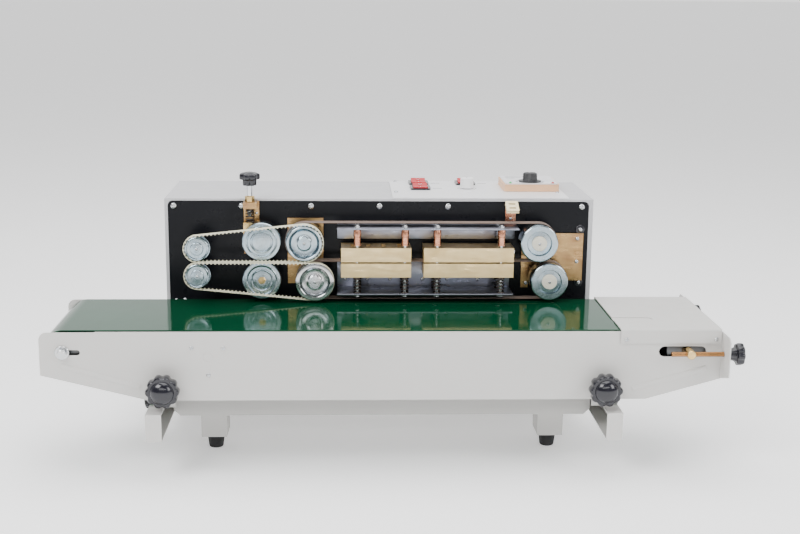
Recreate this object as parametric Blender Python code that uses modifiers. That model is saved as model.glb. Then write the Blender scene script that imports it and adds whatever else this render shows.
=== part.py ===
"""Continuous band sealer: a bench machine that carries a bag on a belt while heated bands close it.

The origin is on the bench under the middle of the machine.  +X runs along the conveyor, towards its
tension knobs, +Y points from the operator to the back of the housing, and +Z is up.
All dimensions below are in millimetres; the helpers turn them into metres.
"""

import math

import bmesh
import bpy
from mathutils import Matrix, Vector

MM = 0.001
GAP = 0.3                       # clearance between pieces that touch
SHEET = 1.5                     # folded sheet metal
MID_X = -10.5                   # middle of the base, the arms and the legs

# Housing and base
HOUSING_X = (-294.0, 268.5)
HOUSING_TOP = 308.5
PLATE_Y = 26.0                  # front face of the black mechanism plate
HOUSING_BACK = 182.0
BASE_HALF = 263.7
BASE_FRONT = -82.0
DECK_TOP = 80.0
BASE_LOW = 49.0
LEG_HALF_SPACING = 213.8
LEG_WIDTH = 32.6
LEG_LOW = 20.0
FOOT_Y = (-57.0, 157.0)

# Controls and fittings of the housing
SPEED_KNOB = (108.5, 109.5)
GLAND = (-230.0, 110.0)
FAN = (-10.0, 220.0)
FAN_R = 30.0

# Conveyor
PANEL_FRONT = -154.0            # outer face of the front side panel
PANEL_BACK = 11.0               # outer face of the back side panel
PANEL_X = (-420.0, 396.5)
PANEL_TOP = 177.2
PANEL_LOW = 93.0
ROLLER_R = 24.5
BELT_T = 1.2
BELT_Y = (-149.0, 6.0)
ROLLER_Z = 152.7
HEAD_X = -393.0
TAIL_X = 354.9
DRIVE_ROLLER = (-222.0, 147.0)
DRIVE_ROLLER_R = 18.8
COVER_X = (272.0, 394.3)
ROD_OFFSET = 12.0               # tension rods stand this far outside the panels
FLANGE = 34.0
KNOB_STUD = 3.0
HEIGHT_KNOB_X = (-274.0, 253.0)
HEIGHT_KNOB_Z = 110.0
SIDE_KNOB = (-70.0, 68.0)       # y and z of the small clamp knobs on the arms

# Sealing mechanism
SEAL_Z = 232.15
TRACK_R = 24.3
BAND_T = 0.6
BAND_Y = (-5.5, 9.5)
GUIDE_Y = (-17.5, -9.5)
GUIDE_T = 2.2
UPPER_Z = SEAL_Z + TRACK_R + 0.95
LOWER_Z = SEAL_Z - TRACK_R - 0.95
LOWER_DRIVE_X = -98.0
UPPER_DRIVE_X = -111.5
LOWER_IDLER_X = 206.7
UPPER_IDLER_X = 192.1
PRESS_X = -166.5
PRESS_R = 24.9
PULLEY_X = -248.5
PULLEY_R = 15.3
GUIDE_TRACK_R = TRACK_R + 0.95 - 0.15 - GUIDE_T - 0.2
SHAFT_R = 6.0
BLOCK_Y = (-17.0, 20.0)
COOLING_X = (-64.2, 26.1)
HEATING_X = (42.4, 159.1)
POST_X = (-43.3, 18.2, 59.9, 143.1)
POST_Y = (-12.5, 15.5)
SHELF_X = (-69.3, 159.1)
LOWER_SHELF_Z = 190.7
UPPER_SHELF_Z = 276.5
UPPER_SHELF_RIGHT = 165.0
PRESS_AXIS = (-182.5, 17.0)

parts = bpy.data.collections.new("continuous_band_sealer")
cutters = bpy.data.collections.new("cutters")


def clear_scene():
    for obj in list(bpy.data.objects):
        bpy.data.objects.remove(obj, do_unlink=True)


def material(name, colour, roughness, metallic=0.0):
    mat = bpy.data.materials.new(name)
    mat.use_nodes = True
    shader = mat.node_tree.nodes["Principled BSDF"]
    shader.inputs["Base Color"].default_value = (*colour, 1.0)
    shader.inputs["Roughness"].default_value = roughness
    shader.inputs["Metallic"].default_value = metallic
    return mat


def from_bmesh(bm):
    mesh = bpy.data.meshes.new("solid")
    bm.to_mesh(mesh)
    bm.free()
    obj = bpy.data.objects.new("solid", mesh)
    cutters.objects.link(obj)
    return obj


def box(x, y, z):
    """A block between two corners."""
    bm = bmesh.new()
    bmesh.ops.create_cube(bm, size=1.0)
    size = Vector((x[1] - x[0], y[1] - y[0], z[1] - z[0])) * MM
    middle = Vector((x[0] + x[1], y[0] + y[1], z[0] + z[1])) * MM / 2
    bmesh.ops.scale(bm, vec=size, verts=bm.verts)
    bmesh.ops.translate(bm, vec=middle, verts=bm.verts)
    return from_bmesh(bm)


def rod(start, end, radius, end_radius=None, sides=20):
    """A round bar, or a cone, from one point to another."""
    a, b = Vector(start) * MM, Vector(end) * MM
    bm = bmesh.new()
    tip = radius if end_radius is None else end_radius
    bmesh.ops.create_cone(bm, cap_ends=True, segments=sides, radius1=radius * MM, radius2=tip * MM,
                          depth=(b - a).length)
    turn = (b - a).to_track_quat("Z", "Y").to_matrix().to_4x4()
    bmesh.ops.transform(bm, matrix=Matrix.Translation((a + b) / 2) @ turn, verts=bm.verts)
    return from_bmesh(bm)


def baked(obj):
    """The object with its modifiers applied, or a curve made into a mesh."""
    bpy.context.view_layer.update()
    graph = bpy.context.evaluated_depsgraph_get()
    mesh = bpy.data.meshes.new_from_object(obj.evaluated_get(graph))
    if obj.type == "CURVE":
        bm = bmesh.new()
        bm.from_mesh(mesh)
        bmesh.ops.remove_doubles(bm, verts=bm.verts, dist=1e-6)
        bmesh.ops.recalc_face_normals(bm, faces=bm.faces)
        bm.to_mesh(mesh)
        bm.free()
    solid = bpy.data.objects.new("solid", mesh)
    solid.matrix_world = obj.matrix_world.copy()
    cutters.objects.link(solid)
    bpy.data.objects.remove(obj, do_unlink=True)
    return solid


def boolean(obj, others, operation):
    for other in others:
        mod = obj.modifiers.new(operation.lower(), "BOOLEAN")
        mod.operation = operation
        mod.solver = "EXACT"
        mod.object = other
    result = baked(obj)
    for other in others:
        bpy.data.objects.remove(other, do_unlink=True)
    return result


def union(obj, *others):
    return boolean(obj, others, "UNION")


def cut(obj, *others):
    return boolean(obj, others, "DIFFERENCE")


AXES = {
    "X": Matrix(((0, 0, 1), (1, 0, 0), (0, 1, 0))).to_4x4(),
    "Y": Matrix(((1, 0, 0), (0, 0, -1), (0, 1, 0))).to_4x4(),
    "Z": Matrix.Identity(4),
}


def turned(profile, centre, axis="Y", sides=32):
    """A turned piece.  The profile lists (radius, distance along the axis) from the far end of the
    axis to the near end, down the outer side; its first and last points are on the axis or, for a
    ring, the profile closes on itself."""
    ring = profile[0][0] > 0
    mesh = bpy.data.meshes.new("profile")
    points = [(r * MM, 0.0, s * MM) for r, s in profile]
    edges = [(i, i + 1) for i in range(len(points) - 1)]
    if ring:
        edges.append((len(points) - 1, 0))
    mesh.from_pydata(points, edges, [])
    obj = bpy.data.objects.new("turned", mesh)
    cutters.objects.link(obj)
    screw = obj.modifiers.new("screw", "SCREW")
    screw.axis = "Z"
    screw.steps = sides
    screw.render_steps = sides
    screw.use_merge_vertices = True
    screw.merge_threshold = 1e-6
    screw.use_normal_calculate = True
    solid = baked(obj)
    bm = bmesh.new()
    bm.from_mesh(solid.data)
    bmesh.ops.recalc_face_normals(bm, faces=bm.faces)
    place = Matrix.Translation(Vector(centre) * MM)
    along = {"X": Matrix.Rotation(math.pi / 2, 4, "Y"), "Y": Matrix.Rotation(-math.pi / 2, 4, "X"),
             "Z": Matrix.Identity(4)}[axis]
    bmesh.ops.transform(bm, matrix=place @ along, verts=bm.verts)
    bm.to_mesh(solid.data)
    bm.free()
    return solid


def plate(outline, normal, low, high, holes=()):
    """A flat piece cut to an outline: (x, z) across Y, (y, z) across X, or (x, y) across Z."""
    curve = bpy.data.curves.new("outline", "CURVE")
    curve.dimensions = "2D"
    curve.fill_mode = "BOTH"
    curve.extrude = (high - low) / 2 * MM
    for loop in (outline, *holes):
        spline = curve.splines.new("POLY")
        spline.points.add(len(loop) - 1)
        for point, (u, v) in zip(spline.points, loop):
            point.co = (u * MM, v * MM, 0.0, 1.0)
        spline.use_cyclic_u = True
    obj = bpy.data.objects.new("outline", curve)
    cutters.objects.link(obj)
    middle = (low + high) / 2 * MM
    shift = {"X": (middle, 0, 0), "Y": (0, middle, 0), "Z": (0, 0, middle)}[normal]
    solid = baked(obj)
    solid.data.transform(Matrix.Translation(shift) @ AXES[normal])
    bm = bmesh.new()
    bm.from_mesh(solid.data)
    bmesh.ops.recalc_face_normals(bm, faces=bm.faces)
    bm.to_mesh(solid.data)
    bm.free()
    return solid


def arc(centre, radius, start, end, steps):
    """Points on an arc, with its angles in degrees."""
    angles = [math.radians(start + (end - start) * i / steps) for i in range(steps + 1)]
    return [(centre[0] + radius * math.cos(a), centre[1] + radius * math.sin(a)) for a in angles]


def rounded(low, high, radius, steps=3):
    """A rectangle with round corners."""
    (x0, y0), (x1, y1) = low, high
    corners = [((x1 - radius, y1 - radius), 0), ((x0 + radius, y1 - radius), 90),
               ((x0 + radius, y0 + radius), 180), ((x1 - radius, y0 + radius), 270)]
    points = []
    for centre, start in corners:
        points += arc(centre, radius, start, start + 90, steps)
    return points


def belt_loop(first, second, width, thickness, steps=20):
    """A belt round two wheels, each (x, z, radius), as a closed strip across Y."""
    (x0, z0, r0), (x1, z1, r1) = first, second
    line = math.atan2(z1 - z0, x1 - x0)
    lean = math.acos((r0 - r1) / math.hypot(x1 - x0, z1 - z0))
    start, end = math.degrees(line + lean), math.degrees(line - lean)

    def loop(extra):
        return (arc((x0, z0), r0 + extra, start, end + 360, steps)
                + arc((x1, z1), r1 + extra, end, start, steps))
    return plate(loop(thickness), "Y", *width, holes=[loop(0.0)])


def mirrored(obj, plane_x=None, plane_y=None):
    """A copy of a solid, reflected in a plane across X or across Y."""
    if plane_x is not None:
        flip = Matrix.Translation((2 * plane_x * MM, 0, 0)) @ Matrix.Diagonal((-1, 1, 1, 1))
    else:
        flip = Matrix.Translation((0, 2 * plane_y * MM, 0)) @ Matrix.Diagonal((1, -1, 1, 1))
    bm = bmesh.new()
    bm.from_mesh(obj.data)
    bmesh.ops.transform(bm, matrix=flip, verts=bm.verts)
    bmesh.ops.reverse_faces(bm, faces=bm.faces)
    return from_bmesh(bm)


def node(name, mat, solid, origin=(0, 0, 0), smooth=False):
    """A finished sub-part, with its origin where it turns or slides."""
    bm = bmesh.new()
    bm.from_mesh(solid.data)
    bpy.data.objects.remove(solid, do_unlink=True)
    bmesh.ops.remove_doubles(bm, verts=bm.verts, dist=1e-7)
    bmesh.ops.translate(bm, vec=-Vector(origin) * MM, verts=bm.verts)
    mesh = bpy.data.meshes.new(name)
    bm.to_mesh(mesh)
    bm.free()
    if smooth:
        mesh.shade_smooth()
        mesh.set_sharp_from_angle(angle=math.radians(35))
    mesh.materials.append(mat)
    obj = bpy.data.objects.new(name, mesh)
    obj.location = Vector(origin) * MM
    parts.objects.link(obj)
    return obj


def bore(x, z, radius, y, sides=20):
    return rod((x, y[0], z), (x, y[1], z), radius, sides=sides)


def star(centre, axis, radius, low, high, lobes=8, depth=0.12):
    """The lobed rim of a hand knob, between two places on its axis."""
    steps = lobes * 3
    outline = []
    for i in range(steps):
        angle = 2 * math.pi * i / steps
        r = radius * (1 - depth * (1 - math.cos(lobes * angle)) / 2)
        outline.append((centre[0] + r * math.cos(angle), centre[1] + r * math.sin(angle)))
    return plate(outline, axis, low, high)


# ---------------------------------------------------------------- base and housing

def make_base(paint, rubber):
    left, right = MID_X - BASE_HALF, MID_X + BASE_HALF
    rear_x = (HOUSING_X[0] + SHEET + GAP, HOUSING_X[1] - SHEET - GAP)
    rear_y = (PLATE_Y + 2.4, HOUSING_BACK - SHEET - 2 * GAP)
    chamfer = 8.0
    front_outline = [(left, DECK_TOP), (left, BASE_LOW + chamfer), (left + chamfer, BASE_LOW),
                     (right - chamfer, BASE_LOW), (right, BASE_LOW + chamfer), (right, DECK_TOP)]
    body = plate(front_outline, "Y", BASE_FRONT, rear_y[0] + 10)
    body = union(body, box(rear_x, rear_y, (BASE_LOW, DECK_TOP)))
    under = DECK_TOP - SHEET
    body = cut(body, box((left + SHEET, right - SHEET), (BASE_FRONT + SHEET, rear_y[0] + 20), (40, under)))
    body = cut(body, box((rear_x[0] + SHEET, rear_x[1] - SHEET), (rear_y[0] + SHEET, rear_y[1] - SHEET),
                         (40, under)))
    leg_y = ((BASE_FRONT + 1.8, BASE_FRONT + 41.8), (HOUSING_BACK - 43.0, HOUSING_BACK - 4.0))
    for side in (-1, 1):
        for y in leg_y:
            x0 = MID_X + side * LEG_HALF_SPACING - LEG_WIDTH / 2
            body = union(body, box((x0, x0 + LEG_WIDTH), y, (LEG_LOW, under + 0.5)))
    stud_y, stud_z = SIDE_KNOB[0], SIDE_KNOB[1]
    body = cut(body, rod((left - 5, stud_y, stud_z), (right + 5, stud_y, stud_z), KNOB_STUD + 0.3))
    node("base_frame", paint, body)

    for side, hand in ((-1, "left"), (1, "right")):
        for y, end in zip(FOOT_Y, ("front", "rear")):
            x = MID_X + side * LEG_HALF_SPACING
            foot = turned([(0, LEG_LOW - GAP), (12.5, LEG_LOW - GAP), (11.4, 4.0), (9.0, 0.0), (0, 0)],
                          (x, y, 0), "Z", 18)
            node(f"{end}_{hand}_foot", rubber, foot, smooth=True)


PLATE_X = (-289.5, 262.5)
PLATE_TOP = 305.5


def make_housing(paint, black, plastic):
    x, top, back = HOUSING_X, HOUSING_TOP, HOUSING_BACK - SHEET - GAP
    shell = box(x, (PLATE_Y, back), (BASE_LOW, top))
    room = box((x[0] + SHEET, x[1] - SHEET), (PLATE_Y + SHEET, back + 5), (40, top - SHEET))
    opening = rounded((PLATE_X[0] - GAP, 40), (PLATE_X[1] + GAP, PLATE_TOP + GAP), 6.3)
    window = plate(opening, "Y", 10, PLATE_Y + 5)
    node("housing_shell", paint, cut(shell, room, window))

    cover = box(x, (HOUSING_BACK - SHEET, HOUSING_BACK), (BASE_LOW, top))
    slots = []
    for row in range(6):
        z = 215 + 12 * row
        slots.append(box((150, 215), (HOUSING_BACK - 5, HOUSING_BACK + 5), (z, z + 4)))
    cover = cut(cover, *slots)
    cover = cut(cover, bore(GLAND[0], GLAND[1], 6.3, (HOUSING_BACK - 10, HOUSING_BACK + 10)))
    inner_face = HOUSING_BACK - SHEET
    fan_x, fan_z = FAN
    frame = box((fan_x - FAN_R - 8, fan_x + FAN_R + 8), (inner_face - 16, inner_face + 0.5),
                (fan_z - FAN_R - 8, fan_z + FAN_R + 8))
    cover = union(cover, frame)
    cover = cut(cover, bore(fan_x, fan_z, FAN_R + 2, (inner_face - 30, inner_face - 3), 24))
    grille = [box((fan_x - 26, fan_x + 26), (inner_face - 10, HOUSING_BACK + 5), (fan_z + h, fan_z + h + 4))
              for h in (-22, -12, -2, 8, 18)]
    node("rear_cover", paint, cut(cover, *grille))
    gland = turned([(0, 6.0), (7.0, 6.0), (8.5, 4.0), (8.5, 0.3), (6.0, 0.3), (6.0, -9.0), (0, -9.0)],
                   (GLAND[0], HOUSING_BACK, GLAND[1]), "Y", 16)
    gland = cut(gland, bore(GLAND[0], GLAND[1], 3.4, (HOUSING_BACK - 20, HOUSING_BACK + 20), 12))
    node("cable_gland", plastic, gland, smooth=True)

    outline = rounded((PLATE_X[0], DECK_TOP + GAP), (PLATE_X[1], PLATE_TOP), 6.0)
    face = plate(outline, "Y", PLATE_Y, PLATE_Y + 2)
    holes = [bore(wx, wz, SHAFT_R + 1.2, (PLATE_Y - 5, PLATE_Y + 8)) for wx, wz in
             ((LOWER_DRIVE_X, LOWER_Z), (UPPER_DRIVE_X, UPPER_Z))]
    node("front_plate", black, cut(face, *holes))


def make_controls(sheet, red, black, white, cream):
    top = HOUSING_TOP + GAP
    face = top + SHEET
    panel = box((4, 236), (PLATE_Y + 0.5, HOUSING_BACK - 3), (top, face))
    sites = {"rocker_power": (44.0, 108.5), "rocker_fan": (44.0, 155.0), "rocker_heat": (109.8, 155.0)}
    openings = [box((x - 10.5, x + 10.5), (y - 12.8, y + 12.8), (300, 320)) for x, y in sites.values()]
    openings.append(rod((SPEED_KNOB[0], SPEED_KNOB[1], 300), (SPEED_KNOB[0], SPEED_KNOB[1], 320), 3.5))
    for x, y in sites.values():
        panel = union(panel, box((x - 13.2, x + 13.2), (y - 15.6, y + 15.6), (top + 0.5, face + 2.3)))
    node("control_panel", sheet, cut(panel, *openings))

    for name, (x, y) in sites.items():
        dip, rise = math.radians(8), 6.2
        profile = [(y - 12.3, face + 1.2), (y + 12.3, face + 1.2), (y + 12.3, face + rise),
                   (y, face + 3.6), (y - 12.3, face + rise - 2 * 12.3 * math.tan(dip) / 1.6)]
        rocker = plate(profile, "X", x - 10.0, x + 10.0)
        node(name, red, rocker, (x, y, face + 3.0))

    knob = turned([(0, 15.0), (8.3, 15.0), (9.0, 14.0), (9.3, 1.0), (0, 1.0)], (*SPEED_KNOB, face), "Z", 28)
    node("speed_knob", white, knob, (*SPEED_KNOB, face), smooth=True)

    x, y = (157.5, 232.0), (82.0, 158.0)
    case = plate(rounded((x[0], y[0]), (x[1], y[1]), 3.0), "Z", face + GAP, face + 10.7)
    node("temperature_controller", cream, case)
    kx, ky = 194.6, 103.0
    base = face + 11.0
    dial = turned([(0, 12.2), (8.8, 12.2), (9.7, 11.2), (10.0, 1.6), (15.6, 1.3), (15.6, 0.3), (0, 0.3)],
                  (kx, ky, base), "Z", 28)
    node("temperature_knob", black, dial, (kx, ky, base), smooth=True)


# ---------------------------------------------------------------- sealing mechanism

def drive_wheel(x, z, flange):
    """A turned wheel with a guide-belt track in front of the seal-band track, on its own shaft,
    with the gear that ties the upper and lower wheels together inside the housing."""
    front = -19.0
    rim = TRACK_R + 0.4 if flange else GUIDE_TRACK_R
    profile = [(0, 70.0), (SHAFT_R, 70.0), (SHAFT_R, 11.5), (TRACK_R - 0.6, 11.5), (TRACK_R, 10.5),
               (TRACK_R, -6.5), (GUIDE_TRACK_R, -8.0), (GUIDE_TRACK_R, front + 1.2), (rim, front + 1.1),
               (rim, front), (18.5, front), (15.5, front + 5.0), (8.0, front + 5.0), (8.0, front + 1.0),
               (3.0, front + 1.0), (3.0, front - 0.8), (0, front - 0.8)]
    return turned(profile, (x, 0, z), "Y", 28)


def gear(x, z, phase, teeth=26):
    """A spur gear inside the housing, with a small backlash."""
    reach = math.hypot(LOWER_DRIVE_X - UPPER_DRIVE_X, UPPER_Z - LOWER_Z)
    pitch_r = reach / 2
    tooth = math.pi * pitch_r / teeth
    module = 2 * pitch_r / teeth
    outline = []
    for i in range(teeth):
        middle = phase + 2 * math.pi * i / teeth
        for r, share in ((pitch_r - 1.15 * module, -0.62), (pitch_r + 0.8 * module, -0.24),
                         (pitch_r + 0.8 * module, 0.24), (pitch_r - 1.15 * module, 0.62)):
            angle = middle + share * tooth / pitch_r
            outline.append((x + r * math.cos(angle), z + r * math.sin(angle)))
    return plate(outline, "Y", 44.0, 54.0)


def make_drive(steel, cream, brown):
    line = math.atan2(UPPER_Z - LOWER_Z, UPPER_DRIVE_X - LOWER_DRIVE_X)
    step = 2 * math.pi / 26
    lower = union(drive_wheel(LOWER_DRIVE_X, LOWER_Z, True), gear(LOWER_DRIVE_X, LOWER_Z, line))
    node("lower_drive_wheel", steel, lower, (LOWER_DRIVE_X, 0, LOWER_Z), smooth=True)
    upper = union(drive_wheel(UPPER_DRIVE_X, UPPER_Z, False),
                  gear(UPPER_DRIVE_X, UPPER_Z, line + math.pi + step / 2))
    node("upper_drive_wheel", steel, upper, (UPPER_DRIVE_X, 0, UPPER_Z), smooth=True)

    for name, x, z in (("lower_idler_wheel", LOWER_IDLER_X, LOWER_Z),
                       ("upper_idler_wheel", UPPER_IDLER_X, UPPER_Z)):
        profile = [(0, 25.6), (4.0, 25.6), (4.0, 13.0), (7.0, 13.0), (7.0, 11.0), (TRACK_R - 0.6, 11.0),
                   (TRACK_R, 10.2), (TRACK_R, -15.5), (TRACK_R - 1.5, -17.0), (15.6, -17.0), (15.6, -14.0),
                   (12.0, -14.0), (11.6, -18.0), (3.5, -19.0), (0, -19.0)]
        node(name, steel, turned(profile, (x, 0, z), "Y", 26), (x, 0, z), smooth=True)

    edge = SEAL_Z - PULLEY_R - 0.2 - GUIDE_T - 0.15
    for name, z in (("lower_guide_pulley", edge), ("upper_guide_pulley", 2 * SEAL_Z - edge)):
        profile = [(0, 25.6), (4.0, 25.6), (4.0, -8.0), (PULLEY_R + 1.0, -8.0), (PULLEY_R + 1.0, -9.0),
                   (PULLEY_R, -9.0), (PULLEY_R, -18.2), (8.0, -18.6), (4.0, -20.4), (0, -20.4)]
        node(name, steel, turned(profile, (PULLEY_X, 0, z), "Y", 20), (PULLEY_X, 0, z), smooth=True)

    for sign, level in ((-1, "lower"), (1, "upper")):
        small = (PULLEY_X, SEAL_Z + sign * (SEAL_Z - edge), PULLEY_R + 0.2)
        drive_x = LOWER_DRIVE_X if sign < 0 else UPPER_DRIVE_X
        idler_x = LOWER_IDLER_X if sign < 0 else UPPER_IDLER_X
        z = SEAL_Z + sign * (TRACK_R + 0.95)
        guide = belt_loop(small, (drive_x, z, GUIDE_TRACK_R + 0.2), GUIDE_Y, GUIDE_T, 13)
        node(level + "_guide_belt", cream, guide, smooth=True)
        band = belt_loop((drive_x, z, TRACK_R + 0.2), (idler_x, z, TRACK_R + 0.2), BAND_Y, BAND_T, 14)
        node(level + "_seal_band", brown, band, smooth=True)


def make_plates(brass):
    bearing = box((-134.3, -87.5), (PLATE_Y - 3.8, PLATE_Y - GAP), (196.5, 283.8))
    holes = [bore(x, z, SHAFT_R + 0.4, (10, 30))
             for x, z in ((LOWER_DRIVE_X, LOWER_Z), (UPPER_DRIVE_X, UPPER_Z))]
    node("bearing_plate", brass, cut(bearing, *holes))

    outline = [(174.3, 190.8), (184.0, 190.8), (184.0, 200.2), (256.1, 200.2), (256.1, 264.0), (174.3, 264.0)]
    tension = plate(outline, "Y", PLATE_Y - 3.8, PLATE_Y - GAP)
    holes = [bore(x, z, 4.3, (10, 30)) for x, z in ((LOWER_IDLER_X, LOWER_Z), (UPPER_IDLER_X, UPPER_Z))]
    node("tension_plate", brass, cut(tension, *holes))


def spring(x, y, low, high, radius, wire, turns):
    """A coil spring of square wire."""
    curve = bpy.data.curves.new("coil", "CURVE")
    curve.dimensions = "3D"
    curve.bevel_depth = wire / 2 * MM
    curve.bevel_resolution = 0
    curve.use_fill_caps = True
    spline = curve.splines.new("POLY")
    count = int(turns * 8)
    spline.points.add(count)
    for i, point in enumerate(spline.points):
        angle = 2 * math.pi * turns * i / count
        z = low + wire / 2 + (high - low - wire) * i / count
        point.co = ((x + radius * math.cos(angle)) * MM, (y + radius * math.sin(angle)) * MM, z * MM, 1.0)
    obj = bpy.data.objects.new("coil", curve)
    cutters.objects.link(obj)
    return baked(obj)


def make_blocks(brass, zinc, ivory):
    low_z = (212.8, SEAL_Z - 0.95)
    high_z = (SEAL_Z + 0.95, 251.5)
    lower_shelf = (LOWER_SHELF_Z - 1, LOWER_SHELF_Z + 1)
    upper_shelf = (UPPER_SHELF_Z - 1, UPPER_SHELF_Z + 1)

    def block(x, z, fins):
        body = box(x, BLOCK_Y, z)
        holes = [rod((px, py, z[0] - 3), (px, py, z[1] + 3), 2.7, sides=10) for px in POST_X for py in POST_Y
                 if x[0] < px < x[1]]
        if fins:
            outer = z[0] if fins < 0 else z[1]
            width = (x[1] - x[0]) / 9
            for i in range(1, 9, 2):
                fx = x[0] + width * i
                holes.append(box((fx + 2.2, fx + width - 2.2), (-6, 9), (outer - 6, outer + 6)))
        else:
            middle = (z[0] + z[1]) / 2
            holes.append(rod((x[1] - 60, 3.0, middle), (x[1] + 5, 3.0, middle), 4.0, sides=14))
        return cut(body, *holes)

    node("lower_heating_block", brass, block(HEATING_X, low_z, 0), (0, 0, low_z[0]))
    node("lower_cooling_block", brass, block(COOLING_X, low_z, -1), (0, 0, low_z[0]))
    node("upper_heating_block", brass, block(HEATING_X, high_z, 0))
    node("upper_cooling_block", brass, block(COOLING_X, high_z, 1))

    upper_x = (SHELF_X[0], UPPER_SHELF_RIGHT)
    frame = union(box(SHELF_X, (-19, PLATE_Y - GAP), lower_shelf),
                  box(SHELF_X, (PLATE_Y - 2.3, PLATE_Y - GAP), (lower_shelf[0], 226.0)))
    upper = union(box(upper_x, (-19, PLATE_Y - GAP), upper_shelf),
                  box(upper_x, (PLATE_Y - 2.3, PLATE_Y - GAP), (256.0, upper_shelf[1])))
    posts = [turned([(0, 281.2), (4.0, 281.2), (4.0, upper_shelf[1] - 0.2), (2.2, upper_shelf[1] - 0.2),
                     (2.2, lower_shelf[0] + 0.2), (4.0, lower_shelf[0] + 0.2), (4.0, 186.6), (0, 186.6)],
                    (x, y, 0), "Z", 8) for x in POST_X for y in POST_Y]
    collars = [box((x - 5, x + 5), (POST_Y[0] - 5, POST_Y[0] + 5), (high_z[1] + 3, upper_shelf[0] + 0.5))
               for x in POST_X]
    node("block_frame", zinc, union(frame, *posts, upper, *collars))

    bracket = union(box((151.5, 166.0), (PLATE_Y - 2.0, PLATE_Y - GAP), (278.5, 304.0)),
                    box((151.5, 166.0), (-1.0, PLATE_Y - GAP), (302.4, 304.0)))
    outline = [(-2.0, 303.5), (PLATE_Y - 2, 303.5), (PLATE_Y - 2, 307.3), (-2.0, 306.2)]
    node("heater_terminal", ivory, union(bracket, plate(outline, "X", 151.0, 166.5)))


def make_press(steel, brass, zinc, spring_steel, black):
    lower = [(0, 25.6), (5.0, 25.6), (5.0, 11.5), (PRESS_R - 0.6, 11.5), (PRESS_R, 10.5), (PRESS_R, -6.0),
             (PRESS_R - 1.0, -7.0), (17.5, -7.0), (17.0, -8.2), (0, -8.2)]
    centre = (PRESS_X, 0, LOWER_Z)
    node("lower_press_wheel", steel, turned(lower, centre, "Y", 26), centre, smooth=True)
    upper = [(0, 20.0), (5.0, 20.0), (5.0, 11.2)] + lower[3:]
    centre = (PRESS_X, 0, UPPER_Z)
    node("upper_press_wheel", steel, turned(upper, centre, "Y", 26), centre, smooth=True)

    x, y = PRESS_AXIS
    carriage = box((-191, -156), (12.4, 21.4), (245.0, 279.0))
    carriage = cut(carriage, bore(PRESS_X, UPPER_Z, 5.1, (0, 30)))
    node("press_carriage", brass, carriage, (x, y, 279.0))
    frame = union(box((-191, -171), (23.4, PLATE_Y - GAP), (236.0, 306.0)),
                  box((-190.5, -173), (8.0, PLATE_Y - GAP), (297.8, 306.0)))
    frame = cut(frame, rod((x, y, 290), (x, y, 310), 3.8))
    node("press_frame", brass, frame)
    node("press_spring", spring_steel, spring(x, y, 279.3, 297.5 - GAP, 5.4, 1.4, 5))
    screw = turned([(0, 331.0), (3.6, 331.0), (3.6, 289.0), (2.4, 287.5), (0, 287.5)], (x, y, 0), "Z", 16)
    node("press_screw", zinc, screw, (x, y, 300), smooth=True)
    knob = union(star((x, y), "Z", 13.5, 335.5, 342.5, 6, 0.16),
                 turned([(0, 345.0), (6.0, 344.4), (9.6, 342.0), (9.6, 336.0), (8.8, 327.5), (0, 327.5)],
                        (x, y, 0), "Z", 18))
    knob = cut(knob, rod((x, y, 320), (x, y, 332.0), 3.9))
    node("press_knob", black, knob, (x, y, 327.5), smooth=True)


def make_insides(grey, black):
    motor = rod((-45, 112, 140), (70, 112, 140), 34, sides=24)
    gearbox = box((-128, -40.5), (75, 150), (DECK_TOP + GAP, 262))
    node("gear_motor", grey, union(gearbox, motor))
    fan_x, fan_z = FAN
    fan_y = HOUSING_BACK - SHEET - 14
    node("fan_rotor", black, fan(fan_x, fan_y, fan_z), (fan_x, fan_y, fan_z))


def fan(x, y, z):
    """The cooling fan's rotor: a hub with flat blades."""
    hub = turned([(0, 7.0), (11.0, 7.0), (11.0, -1.0), (0, -1.0)], (x, y, z), "Y", 14)
    blades = []
    for i in range(5):
        blade = box((8.0, FAN_R), (0.5, 2.5), (-7.0, 7.0))
        turn = Matrix.Rotation(2 * math.pi * i / 5, 4, "Y") @ Matrix.Rotation(math.radians(12), 4, "X")
        blade.data.transform(Matrix.Translation(Vector((x, y + 1.5, z)) * MM) @ turn)
        blades.append(blade)
    return union(hub, *blades)


# ---------------------------------------------------------------- conveyor


def panel_outline():
    left, right = PANEL_X
    return (arc((left + 9, PANEL_TOP - 9), 9, 90, 180, 4)
            + [(left, 124.7), (-303, 95.6)] + arc((-292, 104), 11, 255, 270, 1)
            + [(306, PANEL_LOW), (right, 118.6), (right, PANEL_TOP)])


def slot(x0, x1, z, height, y):
    r = height / 2
    return plate(arc((x0 + r, z), r, 90, 270, 6) + arc((x1 - r, z), r, -90, 90, 6), "Y", *y)


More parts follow.
